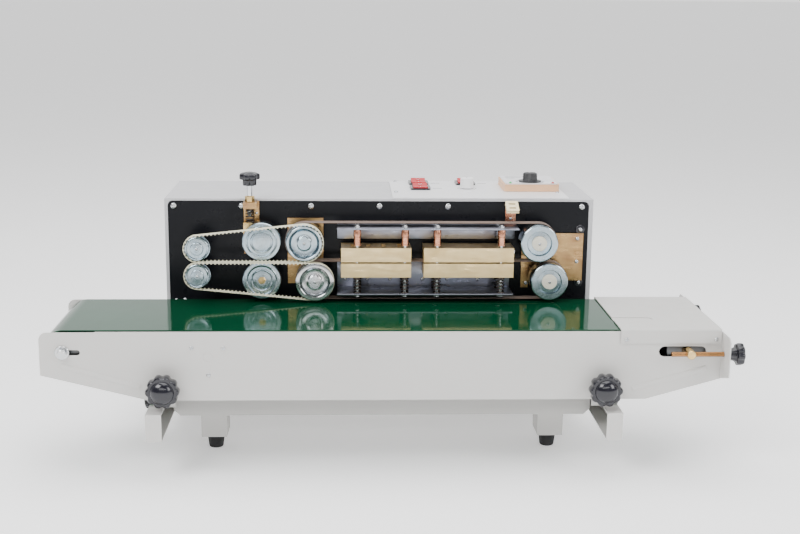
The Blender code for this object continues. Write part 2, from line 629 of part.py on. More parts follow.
def side_panel():
    """The front side panel: folded sheet with a forward flange at its tension end, slots and two
    pressed beads along its sloping edges."""
    outer, inner = PANEL_FRONT, PANEL_FRONT + SHEET
    body = plate(panel_outline(), "Y", outer, inner)
    tip = outer - FLANGE
    flange = [(inner, 118.6), (tip, 129.5), (tip, 172.0), (tip + 5, PANEL_TOP), (inner, PANEL_TOP)]
    body = union(body, plate(flange, "X", PANEL_X[1] - SHEET, PANEL_X[1]))
    flatten = (Matrix.Translation((0, outer * MM, 0)) @ Matrix.Diagonal((1, 0.33, 1, 1))
               @ Matrix.Translation((0, -outer * MM, 0)))
    for start, end in (((-396, 136.8), (-303, 110.4)), ((289, 105.8), (378, 132.0))):
        bead = rod((start[0], outer, start[1]), (end[0], outer, end[1]), 3.6, sides=12)
        bead.data.transform(flatten)
        body = union(body, bead)
    reach = (outer - 6, inner + 6)
    holes = [slot(-398, -372, ROLLER_Z, 6.5, reach), slot(319.3, 377.1, ROLLER_Z, 13.0, reach)]
    holes.append(bore(*DRIVE_ROLLER, 5.6, reach))
    holes += [bore(x, HEIGHT_KNOB_Z, KNOB_STUD + 0.3, reach, 12) for x in HEIGHT_KNOB_X]
    body = cut(body, *holes)
    rod_y = outer - ROD_OFFSET
    return cut(body, rod((PANEL_X[1] - 10, rod_y, ROLLER_Z), (PANEL_X[1] + 10, rod_y, ROLLER_Z), 3.4, sides=16))


def make_conveyor(paint, green, steel, zinc, brass, black):
    front = side_panel()
    back = mirrored(front, plane_y=(PANEL_FRONT + PANEL_BACK) / 2)
    node("front_side_panel", paint, front)
    inner = (PANEL_FRONT + SHEET + GAP, PANEL_BACK - SHEET - GAP)

    bed = box((-355, 316), (inner[0], PANEL_BACK - 0.5), (PANEL_TOP - 14, PANEL_TOP - GAP))
    under_bed = box((-360, 320), (inner[0] + SHEET, PANEL_BACK - SHEET), (PANEL_TOP - 20, PANEL_TOP - SHEET - GAP))
    node("bed_and_back_panel", paint, union(back, cut(bed, under_bed)))

    loop = belt_loop((HEAD_X, ROLLER_Z, ROLLER_R + GAP), (TAIL_X, ROLLER_Z, ROLLER_R + GAP), BELT_Y, BELT_T, 16)
    node("conveyor_belt", green, loop, smooth=True)

    face = (BELT_Y[0] + 1.0, BELT_Y[1] - 1.0)
    for name, x in (("head_roller", HEAD_X), ("tail_roller", TAIL_X)):
        drum = cut(bore(x, ROLLER_Z, ROLLER_R, face, 32), bore(x, ROLLER_Z, 5.9, (face[0] - 5, face[1] + 5)))
        node(name, steel, drum, (x, 0, ROLLER_Z), smooth=True)
    x, z = DRIVE_ROLLER
    front_end = PANEL_FRONT + SHEET + 0.2
    drive = turned([(0, 21.0), (5.0, 21.0), (5.0, face[1]), (DRIVE_ROLLER_R, face[1]),
                    (DRIVE_ROLLER_R, face[0]), (5.0, face[0]), (5.0, front_end), (0, front_end)],
                   (x, 0, z), "Y", 28)
    sprocket = plate(sprocket_outline(x, z, 10, 16.0), "Y", 16.0, 19.0)
    node("drive_roller", steel, union(drive, sprocket), (x, 0, z), smooth=True)

    bolts = turned([(0, PANEL_BACK + 6.4), (5.5, PANEL_BACK + 6.4), (5.5, PANEL_BACK + 2.0), (9.0, PANEL_BACK + 2.0),
                    (9.0, PANEL_BACK + GAP), (3.0, PANEL_BACK + GAP), (3.0, inner[1]), (5.5, inner[1] - 0.1),
                    (5.5, inner[0] + 0.1), (3.0, inner[0]), (3.0, PANEL_FRONT - GAP), (9.0, PANEL_FRONT - GAP),
                    (9.0, PANEL_FRONT - 2.0), (5.5, PANEL_FRONT - 2.0), (5.5, PANEL_FRONT - 6.4),
                    (0, PANEL_FRONT - 6.4)], (HEAD_X, 0, ROLLER_Z), "Y", 12)
    node("head_axle", zinc, bolts, smooth=True)

    top = 180.5
    skirt = 163.0
    outer_y = (PANEL_FRONT - GAP - SHEET, PANEL_BACK + GAP + SHEET)
    cover = box(COVER_X, outer_y, (skirt, top))
    cover = cut(cover, box((COVER_X[0] - 5, COVER_X[1] - SHEET), (outer_y[0] + SHEET, outer_y[1] - SHEET),
                           (skirt - 5, top - 1.2)))
    for y0 in (PANEL_FRONT - GAP, PANEL_BACK - SHEET - GAP):
        cover = cut(cover, box((COVER_X[1] - SHEET - 1, COVER_X[1] + 5), (y0, y0 + SHEET + 2 * GAP),
                               (skirt - 5, PANEL_TOP + GAP)))
    node("end_cover", paint, cover)

    rod_y = (PANEL_FRONT - ROD_OFFSET, PANEL_BACK + ROD_OFFSET)
    axle = bore(TAIL_X, ROLLER_Z, 5.5, (rod_y[0] - 5.5, rod_y[1] + 5.5), 20)
    axle = cut(axle, *[rod((TAIL_X - 10, y, ROLLER_Z), (TAIL_X + 10, y, ROLLER_Z), 3.3, sides=16) for y in rod_y])
    node("tension_axle", brass, axle, (TAIL_X, 0, ROLLER_Z), smooth=True)
    for side, y in zip(("front", "rear"), rod_y):
        head = union(star((y, ROLLER_Z), "X", 13.6, 409.0, 418.0, 8, 0.10),
                     turned([(0, 420.0), (8.0, 419.0), (10.0, 417.0), (10.0, 409.5), (7.5, 405.0), (7.5, 399.0),
                             (0, 399.0)], (0, y, ROLLER_Z), "X", 18))
        head = union(head, rod((331.3, y, ROLLER_Z), (410.0, y, ROLLER_Z), 3.0, sides=12))
        node(side + "_tension_screw", black, head, (405, y, ROLLER_Z), smooth=True)


def sprocket_outline(x, z, teeth, radius):
    outline = []
    for i in range(teeth):
        middle = 2 * math.pi * i / teeth
        for r, share in ((radius - 4.0, -0.34), (radius, -0.12), (radius, 0.12), (radius - 4.0, 0.34)):
            angle = middle + share * 2 * math.pi / teeth
            outline.append((x + r * math.cos(angle), z + r * math.sin(angle)))
    return outline


def make_arms(paint, black):
    outer, inner = MID_X - BASE_HALF - 19.6, MID_X - BASE_HALF - 0.6
    y, z = (PANEL_FRONT - 30.0, 20.0), (51.5, 85.0)
    arm = box((outer, inner), y, z)
    arm = cut(arm, box((outer + SHEET, inner + 5), (y[0] + SHEET, y[1] + 5), (z[0] + SHEET, z[1] - SHEET)))
    uprights = (PANEL_FRONT + SHEET + GAP, PANEL_BACK - SHEET - GAP - 2.0)
    for uy in uprights:
        knob_x = HEIGHT_KNOB_X[0]
        arm = union(arm, box((knob_x - 12.5, knob_x + 12.5), (uy, uy + 2.0), (z[1] - 0.9, 122.0)))
        arm = cut(arm, box((knob_x - 3.5, knob_x + 3.5), (uy - 3, uy + 5), (98.8, 113.6)))
    ky, kz = SIDE_KNOB
    arm = cut(arm, box((outer - 5, outer + SHEET + 2), (ky - 3.6, ky + 33.6), (kz - 3.5, kz + 3.5)))
    other = mirrored(arm, plane_x=MID_X)
    node("left_arm", paint, arm)
    node("right_arm", paint, other)

    for side, x in zip(("left", "right"), HEIGHT_KNOB_X):
        face = PANEL_FRONT - GAP
        head = union(star((x, HEIGHT_KNOB_Z), "Y", 20.0, face - 26.0, face - 9.0, 10, 0.11),
                     turned([(0, -1.0), (10.0, -1.0), (10.0, -10.0), (14.0, -12.0), (14.0, -26.5), (12.0, -29.5),
                             (7.0, -31.8), (0, -32.5)], (x, face, HEIGHT_KNOB_Z), "Y", 18))
        head = union(head, bore(x, HEIGHT_KNOB_Z, KNOB_STUD, (face - 12.0, PANEL_FRONT + 12.0), 14))
        node(side + "_height_knob", black, head, (x, PANEL_FRONT, HEIGHT_KNOB_Z), smooth=True)
        way = -1 if side == "left" else 1
        face_x = MID_X + way * (BASE_HALF + 19.6 + GAP)
        far = face_x + way * 18.0
        near = face_x + way * 9.5
        low, high = sorted((near, far))
        disc = star((ky, kz), "X", 12.5, low, high, 6, 0.12)
        stem = rod((MID_X + way * (BASE_HALF - 1.5), ky, kz), (near + way * 2, ky, kz), KNOB_STUD, sides=14)
        hub = rod((face_x + way * 0.5, ky, kz), (near + way * 2, ky, kz), 6.0, sides=16)
        node(side + "_arm_knob", black, union(disc, hub, stem), (face_x, ky, kz), smooth=True)


def build():
    clear_scene()
    scene = bpy.context.scene.collection
    scene.children.link(parts)
    scene.children.link(cutters)
    paint = material("panel_paint", (0.62, 0.61, 0.59), 0.45)
    case_paint = material("case_paint", (0.64, 0.64, 0.66), 0.45)
    black_paint = material("black_paint", (0.012, 0.013, 0.016), 0.4)
    panel_paint = material("control_sheet", (0.8, 0.8, 0.81), 0.35)
    green = material("belt_green", (0.0, 0.07, 0.025), 0.15)
    rubber = material("rubber", (0.012, 0.012, 0.014), 0.7)
    zinc = material("zinc_steel", (0.6, 0.62, 0.65), 0.3, 1.0)
    steel = material("polished_steel", (0.7, 0.74, 0.78), 0.2, 1.0)
    brass = material("brass", (0.75, 0.6, 0.36), 0.35, 1.0)
    dark_steel = material("spring_steel", (0.25, 0.22, 0.2), 0.4, 1.0)
    black = material("black_plastic", (0.012, 0.012, 0.018), 0.25)
    red = material("red_plastic", (0.55, 0.02, 0.03), 0.3)
    white = material("white_plastic", (0.85, 0.85, 0.85), 0.4)
    cream = material("cream_plastic", (0.85, 0.6, 0.42), 0.4)
    guide = material("cream_polyurethane", (0.75, 0.7, 0.5), 0.5)
    brown = material("seal_fabric", (0.2, 0.13, 0.1), 0.5)
    ivory = material("ceramic", (0.82, 0.76, 0.55), 0.3)

    make_base(paint, rubber)
    make_housing(case_paint, black_paint, black)
    make_controls(panel_paint, red, black, white, cream)
    make_drive(steel, guide, brown)
    make_plates(brass)
    make_blocks(brass, zinc, ivory)
    make_press(steel, brass, zinc, dark_steel, black)
    make_insides(zinc, black)
    make_conveyor(paint, green, steel, zinc, brass, black)
    make_arms(paint, black)


build()
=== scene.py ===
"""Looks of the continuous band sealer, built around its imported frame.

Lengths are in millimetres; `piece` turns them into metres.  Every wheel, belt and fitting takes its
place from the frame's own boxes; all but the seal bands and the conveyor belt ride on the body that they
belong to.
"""

import math

import bmesh
import bpy
from mathutils import Matrix, Vector


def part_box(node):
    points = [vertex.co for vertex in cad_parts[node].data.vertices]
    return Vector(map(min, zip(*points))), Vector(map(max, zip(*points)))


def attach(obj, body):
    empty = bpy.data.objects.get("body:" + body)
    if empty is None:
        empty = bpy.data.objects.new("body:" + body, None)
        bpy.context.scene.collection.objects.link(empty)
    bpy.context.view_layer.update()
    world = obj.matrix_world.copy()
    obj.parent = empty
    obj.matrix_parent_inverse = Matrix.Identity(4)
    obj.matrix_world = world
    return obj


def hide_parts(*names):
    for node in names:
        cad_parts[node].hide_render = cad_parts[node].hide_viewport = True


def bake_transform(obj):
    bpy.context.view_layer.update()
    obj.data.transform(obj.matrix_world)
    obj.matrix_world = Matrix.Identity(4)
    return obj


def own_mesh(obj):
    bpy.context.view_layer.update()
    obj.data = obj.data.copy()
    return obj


MM = 0.001
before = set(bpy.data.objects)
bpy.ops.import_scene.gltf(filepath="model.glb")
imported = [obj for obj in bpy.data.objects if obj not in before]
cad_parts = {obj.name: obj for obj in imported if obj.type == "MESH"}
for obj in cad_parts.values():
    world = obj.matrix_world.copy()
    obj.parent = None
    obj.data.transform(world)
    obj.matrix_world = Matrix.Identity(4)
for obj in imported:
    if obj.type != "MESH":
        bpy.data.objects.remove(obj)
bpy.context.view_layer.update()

AXES = {
    "X": lambda u, v, t: Vector((t, u, v)),
    "Y": lambda u, v, t: Vector((u, t, v)),
    "Z": lambda u, v, t: Vector((u, v, t)),
}


def low(node):
    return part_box(node)[0] / MM


def high(node):
    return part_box(node)[1] / MM


def middle(node):
    return (low(node) + high(node)) / 2


# ---------------------------------------------------------------- materials

def shader(name, colour, roughness, metallic=0.0):
    """A new material, with its node tree and its Principled shader."""
    mat = bpy.data.materials.new(name)
    mat.use_nodes = True
    bsdf = mat.node_tree.nodes["Principled BSDF"]
    bsdf.inputs["Base Color"].default_value = (*colour, 1.0)
    bsdf.inputs["Roughness"].default_value = roughness
    bsdf.inputs["Metallic"].default_value = metallic
    return mat, mat.node_tree, bsdf


def add(tree, kind, **properties):
    """A shader node, with its properties set by name."""
    made = tree.nodes.new(kind)
    for key, value in properties.items():
        setattr(made, key, value)
    return made


def place(tree, stretch=(1, 1, 1)):
    """Object coordinates, stretched along the axes."""
    where = add(tree, "ShaderNodeTexCoord")
    mapping = add(tree, "ShaderNodeMapping")
    mapping.inputs["Scale"].default_value = stretch
    tree.links.new(where.outputs["Object"], mapping.inputs["Vector"])
    return mapping.outputs["Vector"]


def noise(tree, vector, scale, detail=4.0):
    """Noise between 0 and 1, finer at a larger scale."""
    made = add(tree, "ShaderNodeTexNoise")
    made.inputs["Scale"].default_value = scale
    made.inputs["Detail"].default_value = detail
    tree.links.new(vector, made.inputs["Vector"])
    return made.outputs["Fac"]


def ramp(tree, value, stops):
    """A value turned into a colour, or into a grey where a stop is one number."""
    made = add(tree, "ShaderNodeValToRGB")
    elements = made.color_ramp.elements
    while len(elements) < len(stops):
        elements.new(0.5)
    for element, (position, colour) in zip(elements, stops):
        element.position = position
        element.color = (colour,) * 3 + (1,) if isinstance(colour, (int, float)) else (*colour, 1)
    tree.links.new(value, made.inputs["Fac"])
    return made.outputs["Color"]


def bumped(tree, bsdf, height, strength, distance):
    """Relief of that height in metres; reliefs stack up."""
    made = add(tree, "ShaderNodeBump")
    made.inputs["Strength"].default_value = strength
    made.inputs["Distance"].default_value = distance
    tree.links.new(height, made.inputs["Height"])
    for link in list(bsdf.inputs["Normal"].links):
        tree.links.new(link.from_socket, made.inputs["Normal"])
    tree.links.new(made.outputs["Normal"], bsdf.inputs["Normal"])


def varied(tree, bsdf, colour, spread, scale):
    """The colour, a little lighter and darker from place to place."""
    dark = tuple(c * (1 - spread) for c in colour)
    light = tuple(min(c * (1 + spread), 1.0) for c in colour)
    tone = ramp(tree, noise(tree, place(tree), scale), [(0.3, dark), (0.7, light)])
    tree.links.new(tone, bsdf.inputs["Base Color"])


def rough_spots(tree, bsdf, least, most, scale, stretch=(1, 1, 1)):
    """Roughness that wanders between two values."""
    value = ramp(tree, noise(tree, place(tree, stretch), scale, 6.0), [(0.3, least), (0.7, most)])
    tree.links.new(value, bsdf.inputs["Roughness"])


def powder_coat(name, colour, roughness=0.42, grain=0.14, gloss=0.45):
    """Baked paint with a fine orange-peel grain."""
    mat, tree, bsdf = shader(name, colour, roughness)
    varied(tree, bsdf, colour, 0.025, 7.0)
    rough_spots(tree, bsdf, roughness - 0.05, roughness + 0.07, 60.0)
    bumped(tree, bsdf, noise(tree, place(tree), 1500.0, 3.0), grain, 0.0002)
    bumped(tree, bsdf, noise(tree, place(tree), 320.0, 2.0), grain * 0.7, 0.0004)
    bsdf.inputs["Specular IOR Level"].default_value = gloss
    return mat


def plated(name, tones, roughness, brush=(1, 1, 1), scale=60.0):
    """Plated or passivated metal whose tone drifts across the sheet, with fine rolling lines."""
    mat, tree, bsdf = shader(name, tones[0], roughness, 1.0)
    step = 1.0 / max(len(tones) - 1, 1)
    stops = [(0.25 + 0.5 * step * i, tone) for i, tone in enumerate(tones)]
    tree.links.new(ramp(tree, noise(tree, place(tree), scale, 3.0), stops), bsdf.inputs["Base Color"])
    rough_spots(tree, bsdf, roughness * 0.7, roughness * 1.4, 300.0, brush)
    bumped(tree, bsdf, noise(tree, place(tree, brush), 700.0, 3.0), 0.12, 0.0001)
    return mat


def turned_metal(name, colour, roughness, pitch=0.5):
    """Lathe work: fine rings round the piece's own Y axis, with a blue-white zinc sheen."""
    mat, tree, bsdf = shader(name, colour, roughness, 1.0)
    flat = add(tree, "ShaderNodeVectorMath", operation="MULTIPLY")
    flat.inputs[1].default_value = (1, 0, 1)
    tree.links.new(place(tree), flat.inputs[0])
    radius = add(tree, "ShaderNodeVectorMath", operation="LENGTH")
    tree.links.new(flat.outputs["Vector"], radius.inputs[0])
    wave = add(tree, "ShaderNodeMath", operation="MULTIPLY")
    wave.inputs[1].default_value = 2 * math.pi / (pitch * MM)
    tree.links.new(radius.outputs["Value"], wave.inputs[0])
    rings = add(tree, "ShaderNodeMath", operation="SINE")
    tree.links.new(wave.outputs[0], rings.inputs[0])
    cool = tuple(c * k for c, k in zip(colour, (0.88, 0.97, 1.0)))
    warm = tuple(c * k for c, k in zip(colour, (1.0, 0.98, 0.92)))
    tone = ramp(tree, noise(tree, place(tree), 55.0, 2.0), [(0.3, cool), (0.7, warm)])
    tree.links.new(tone, bsdf.inputs["Base Color"])
    rough_spots(tree, bsdf, roughness * 0.8, roughness * 1.3, 200.0)
    bumped(tree, bsdf, rings.outputs[0], 0.18, 0.00005)
    return mat


def plastic(name, colour, roughness, grain=0.1, coat=0.0):
    """Moulded plastic, rubber or ceramic, with or without a glossy coat."""
    mat, tree, bsdf = shader(name, colour, roughness)
    varied(tree, bsdf, colour, 0.06, 45.0)
    rough_spots(tree, bsdf, roughness * 0.85, roughness * 1.2, 150.0)
    bumped(tree, bsdf, noise(tree, place(tree), 1800.0, 3.0), grain, 0.0001)
    bsdf.inputs["Coat Weight"].default_value = coat
    bsdf.inputs["Coat Roughness"].default_value = 0.12
    return mat


def stripes(tree, axis, pitch):
    """A wave along an axis of the piece, one crest to each pitch in millimetres."""
    wave = add(tree, "ShaderNodeTexWave", wave_type="BANDS", bands_direction=axis)
    wave.inputs["Scale"].default_value = 0.314 / (pitch * MM)
    tree.links.new(place(tree), wave.inputs["Vector"])
    return wave


def woven(name, colour, thread):
    """Coated glass cloth: a plain weave along X and Y with a soft sheen, and painted shade darkening the gaps
    between the threads.
    """
    mat, tree, bsdf = shader(name, colour, 0.45)
    heights = []
    for direction in ("X", "Y"):
        wave = stripes(tree, direction, thread)
        wave.inputs["Distortion"].default_value = 0.6
        heights.append(wave.outputs["Fac"])
    both = add(tree, "ShaderNodeMath", operation="MULTIPLY")
    tree.links.new(heights[0], both.inputs[0])
    tree.links.new(heights[1], both.inputs[1])
    # Colour darker where the threads are low: painted shade between the threads.
    tone = ramp(tree, both.outputs[0], [(0.0, tuple(c * 0.6 for c in colour)), (1.0, colour)])
    tree.links.new(tone, bsdf.inputs["Base Color"])
    bumped(tree, bsdf, both.outputs[0], 0.35, 0.0001)
    bsdf.inputs["Sheen Weight"].default_value = 0.2
    bsdf.inputs["Sheen Roughness"].default_value = 0.4
    return mat


def glossy_belt(name, colour):
    """Glossy PVC belt: nearly a mirror, a little wavy, with fine scuffs along its run."""
    mat, tree, bsdf = shader(name, colour, 0.08, 0.25)
    varied(tree, bsdf, colour, 0.12, 9.0)
    rough_spots(tree, bsdf, 0.05, 0.13, 90.0, (0.15, 1, 1))
    bumped(tree, bsdf, noise(tree, place(tree, (1, 0.45, 1)), 34.0, 2.0), 0.09, 0.002)
    bumped(tree, bsdf, noise(tree, place(tree, (0.2, 1, 1)), 900.0, 2.0), 0.03, 0.0001)
    bsdf.inputs["Specular IOR Level"].default_value = 0.2
    return mat


def threaded(name, colour, roughness, pitch, axis):
    """A plated rod whose thread is a fine wave along its length, with painted shade darkening its grooves."""
    mat, tree, bsdf = shader(name, colour, roughness, 1.0)
    wave = stripes(tree, axis, pitch)
    # Colour darker in the thread's grooves: painted shade.
    tone = ramp(tree, wave.outputs["Fac"], [(0.1, tuple(c * 0.55 for c in colour)), (0.8, colour)])
    tree.links.new(tone, bsdf.inputs["Base Color"])
    bumped(tree, bsdf, wave.outputs["Fac"], 0.5, 0.0003)
    return mat


CASE = powder_coat("case_paint", (0.5, 0.5, 0.515))
FRAME_PAINT = powder_coat("frame_paint", (0.56, 0.55, 0.53))
BLACK_PLATE = powder_coat("black_plate", (0.005, 0.0055, 0.0075), 0.3, 0.08, 0.16)
PANEL_WHITE = powder_coat("panel_white", (0.74, 0.74, 0.755), 0.34, 0.05)
WHEEL = turned_metal("turned_zinc", (0.4, 0.46, 0.51), 0.2)
# The lower drive wheel's dish: the wheels' turned zinc made lighter, as a painted highlight.
DISH_PAINTED_HIGHLIGHT = turned_metal("dish_painted_highlight", (0.6, 0.59, 0.61), 0.13, 0.9)
# The rollers' turned metal is made near black: painted shade of the slots that their ends are seen through.
ROLLER_PAINTED_SHADE = turned_metal("roller_metal", (0.12, 0.12, 0.125), 0.38, 1.2)
CHROME = plated("chrome", [(0.55, 0.56, 0.58), (0.66, 0.66, 0.67)], 0.08)
SCREW_ZINC = plated("screw_zinc", [(0.48, 0.51, 0.55), (0.62, 0.62, 0.6)], 0.22, scale=300.0)
SHELF_ZINC = plated("shelf_zinc", [(0.27, 0.28, 0.34), (0.35, 0.36, 0.42), (0.3, 0.32, 0.38)], 0.34,
                    (0.2, 1, 1), 12.0)
BRONZE_PLATE = plated("bronze_plate", [(0.3, 0.16, 0.07), (0.48, 0.31, 0.14), (0.36, 0.2, 0.1)], 0.3,
                      (0.2, 1, 1), 40.0)
BRASS = plated("brass", [(0.6, 0.4, 0.15), (0.75, 0.55, 0.26)], 0.22, scale=120.0)
BLOCK_BRASS = plated("block_brass", [(0.72, 0.51, 0.23), (0.83, 0.64, 0.34), (0.76, 0.56, 0.27)], 0.38,
                     (0.15, 1, 1), 30.0)
COPPER = plated("copper", [(0.6, 0.24, 0.13), (0.75, 0.38, 0.25)], 0.26, scale=120.0)
SPRING_STEEL = plated("spring_steel", [(0.05, 0.042, 0.038), (0.12, 0.1, 0.088)], 0.35, scale=200.0)
ROD_THREAD = threaded("rod_thread", (0.4, 0.2, 0.08), 0.26, 1.0, "X")
CAST = plated("cast_metal", [(0.3, 0.3, 0.31), (0.4, 0.4, 0.41)], 0.5)
BLACK_PLASTIC = plastic("black_plastic", (0.006, 0.006, 0.011), 0.2, 0.05, 0.2)
DIAL_BLACK = plastic("dial_black", (0.014, 0.014, 0.016), 0.38)
RUBBER = plastic("foot_rubber", (0.007, 0.007, 0.008), 0.62, 0.3)
RED = plastic("red_plastic", (0.5, 0.004, 0.012), 0.22, 0.03, 0.3)
WHITE = plastic("white_plastic", (0.84, 0.84, 0.85), 0.3, 0.05)
PEACH = plastic("peach_plastic", (0.8, 0.48, 0.27), 0.42)
LABEL = plastic("dial_label", (0.7, 0.7, 0.72), 0.4, 0.03)
MARKS = plastic("dial_marks", (0.09, 0.09, 0.11), 0.5, 0.03)
GREEN_LAMP = plastic("green_lamp", (0.02, 0.42, 0.08), 0.15, 0.02, 0.6)
RED_LAMP = plastic("red_lamp", (0.45, 0.02, 0.02), 0.15, 0.02, 0.6)
IVORY = plastic("ceramic", (0.84, 0.72, 0.44), 0.25, 0.08, 0.3)
HUB = plastic("hub_cream", (0.72, 0.69, 0.58), 0.3, 0.05, 0.3)
GUIDE = plastic("cream_polyurethane", (0.76, 0.73, 0.55), 0.42, 0.2)
SEAL = woven("seal_cloth", (0.24, 0.16, 0.12), 0.5)
BELT = glossy_belt("belt_pvc", (0.0, 0.05, 0.02))


# ---------------------------------------------------------------- solids

def solid_box(x, y, z, edge=0.0):
    """A box over three spans, its edges rounded."""
    bm = bmesh.new()
    bmesh.ops.create_cube(bm, size=1.0)
    bmesh.ops.scale(bm, vec=(x[1] - x[0], y[1] - y[0], z[1] - z[0]), verts=bm.verts)
    bmesh.ops.translate(bm, vec=((x[0] + x[1]) / 2, (y[0] + y[1]) / 2, (z[0] + z[1]) / 2), verts=bm.verts)
    if edge:
        bmesh.ops.bevel(bm, geom=bm.edges[:], offset=edge, segments=2, affect="EDGES", profile=0.5)
    return bm


def lathe(profile, centre, axis, steps):
    """A body of revolution.  The profile lists (radius, distance along the axis) from axis to axis."""
    return turned([(radius, t, 0.0) for radius, t in profile], centre, axis, steps, lambda angle: 0.0)


def turned(layers, centre, axis, steps, dip):
    """Rings of points joined up.  Each layer is (radius, distance, share), and its radius is less by
    that share of dip(angle)."""
    bm = bmesh.new()
    rows = []
    for radius, t, share in layers:
        angles = [2 * math.pi * i / steps for i in range(steps)] if radius else [0.0]
        row = []
        for angle in angles:
            r = radius * (1 - share * dip(angle))
            offset = AXES[axis](r * math.cos(angle), r * math.sin(angle), t)
            row.append(bm.verts.new(Vector(centre) + offset))
        rows.append(row)
    skin(bm, rows)
    return bm


def skin(bm, rows):
    """Faces between rows of points, where a row of one point is a tip."""
    for a, b in zip(rows, rows[1:]):
        count = max(len(a), len(b))
        if count == 1:
            continue
        for i in range(count):
            j = (i + 1) % count
            corners = [a[i % len(a)], a[j % len(a)], b[j % len(b)], b[i % len(b)]]
            kept = []
            for corner in corners:
                if corner not in kept:
                    kept.append(corner)
            bm.faces.new(kept)


def prism(outline, axis, start, end, edge=0.0, steps=2):
    """An outline in the two other axes, extruded along this one, its rims rounded."""
    bm = bmesh.new()
    rings = [[bm.verts.new(AXES[axis](u, v, t)) for u, v in outline] for t in (start, end)]
    bm.faces.new(rings[0])
    bm.faces.new(list(reversed(rings[1])))
    skin(bm, rings)
    if edge:
        bm.normal_update()
        rims = [e for e in bm.edges if len({v in rings[0] for v in e.verts}) == 1]
        bmesh.ops.bevel(bm, geom=rims, offset=edge, segments=steps, affect="EDGES", profile=0.5)
    return bm


def joined(*parts):
    """Several solids as one mesh."""
    bm = bmesh.new()
    for part in parts:
        mesh = bpy.data.meshes.new("part")
        part.to_mesh(mesh)
        part.free()
        bm.from_mesh(mesh)
        bpy.data.meshes.remove(mesh)
    return bm


def carved(bm, *cutters):
    """The solid with other solids cut out of it."""
    bmesh.ops.recalc_face_normals(bm, faces=bm.faces)
    mesh = bpy.data.meshes.new("carved")
    bm.to_mesh(mesh)
    bm.free()
    body = bpy.data.objects.new("carved", mesh)
    bpy.context.scene.collection.objects.link(body)
    tools = []
    for cutter in cutters:
        bmesh.ops.recalc_face_normals(cutter, faces=cutter.faces)
        tool_mesh = bpy.data.meshes.new("tool")
        cutter.to_mesh(tool_mesh)
        cutter.free()
        tool = bpy.data.objects.new("tool", tool_mesh)
        bpy.context.scene.collection.objects.link(tool)
        modifier = body.modifiers.new("cut", "BOOLEAN")
        modifier.operation = "DIFFERENCE"
        modifier.solver = "EXACT"
        modifier.object = tool
        tools.append(tool)
    bpy.context.view_layer.update()
    result = bmesh.new()
    evaluated = body.evaluated_get(bpy.context.evaluated_depsgraph_get())
    result.from_mesh(evaluated.to_mesh())
    evaluated.to_mesh_clear()
    for obj in [body, *tools]:
        bpy.data.objects.remove(obj, do_unlink=True)
    return result


def copies(mesh, places):
    """A mesh at each (centre, rotation) of the list."""
    bm = bmesh.new()
    for centre, turn in places:
        start = len(bm.verts)
        bm.from_mesh(mesh)
        bm.verts.ensure_lookup_table()
        bmesh.ops.transform(bm, matrix=Matrix.Translation(Vector(centre)) @ turn, verts=bm.verts[start:])
    return bm


def stored(bm):
    """A solid kept as a mesh, to be copied."""
    mesh = bpy.data.meshes.new("stored")
    bm.to_mesh(mesh)
    bm.free()
    return mesh


def tube(path, radius, sides):
    """A wire along a list of points, with closed ends."""
    bm = bmesh.new()
    rows = []
    side = None
    for i, point in enumerate(path):
        along = (path[min(i + 1, len(path) - 1)] - path[max(i - 1, 0)]).normalized()
        if side is None:
            side = along.orthogonal().normalized()
        side = (side - along * side.dot(along)).normalized()
        other = along.cross(side)
        rows.append([bm.verts.new(point + (side * math.cos(a) + other * math.sin(a)) * radius)
                     for a in (2 * math.pi * k / sides for k in range(sides))])
    skin(bm, rows)
    bm.faces.new(rows[0])
    bm.faces.new(list(reversed(rows[-1])))
    return bm


def coil(x, y, start, end, radius, wire, turns):
    """A compression spring with closed ends."""
    count = int(turns * 20)
    path = []
    for i in range(count + 1):
        share = i / count
        lift = min(max((share * turns - 0.8) / (turns - 1.6), 0.0), 1.0)
        angle = 2 * math.pi * turns * share
        path.append(Vector((x + radius * math.cos(angle), y + radius * math.sin(angle),
                            start + wire + (end - start - 2 * wire) * lift)))
    return tube(path, wire, 8)


def arc(centre, radius, start, end, steps):
    """Points on an arc, angles in degrees."""
    points = []
    for i in range(steps + 1):
        angle = math.radians(start + (end - start) * i / steps)
        points.append((centre[0] + radius * math.cos(angle), centre[1] + radius * math.sin(angle)))
    return points


def rounded(a, b, radius):
    """A rectangle between two corners, with round corners."""
    (x0, y0), (x1, y1) = a, b
    corners = ((x1 - radius, y0 + radius), (x1 - radius, y1 - radius), (x0 + radius, y1 - radius),
               (x0 + radius, y0 + radius))
    return [point for k, centre in enumerate(corners)
            for point in arc(centre, radius, 90 * k - 90, 90 * k, 6)]


def hexagon(radius, centre=(0, 0), turn=0):
    """A hexagon by the radius of its corners, turned by degrees."""
    return arc(centre, radius, turn, turn + 300, 5)


def lobed(layers, centre, axis, lobes, waist):
    """A hand knob.  Each layer is (radius, distance), and may add the share of the lobes' depth there."""
    full = [(*layer, 1.0)[:3] for layer in layers]
    return turned(full, centre, axis, 120,
                  lambda angle: waist * (0.5 - 0.5 * math.cos(lobes * angle)) ** 1.6)


def piece(name, bm, material, body, origin=(0, 0, 0), sharp=32.0, replaces=()):
    """A finished piece riding on its body, smooth but for edges sharper than an angle."""
    bmesh.ops.recalc_face_normals(bm, faces=bm.faces)
    to_metres = Matrix.Scale(MM, 4) @ Matrix.Translation(-Vector(origin))
    bmesh.ops.transform(bm, matrix=to_metres, verts=bm.verts)
    mesh = bpy.data.meshes.new(name)
    bm.to_mesh(mesh)
    bm.free()
    mesh.materials.append(material)
    mesh.shade_smooth()
    mesh.set_sharp_from_angle(angle=math.radians(sharp))
    obj = bpy.data.objects.new(name, mesh)
    obj.location = Vector(origin) * MM
    bpy.context.scene.collection.objects.link(obj)
    if body:
        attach(obj, body)
    if replaces:
        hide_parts(*replaces)
    return obj


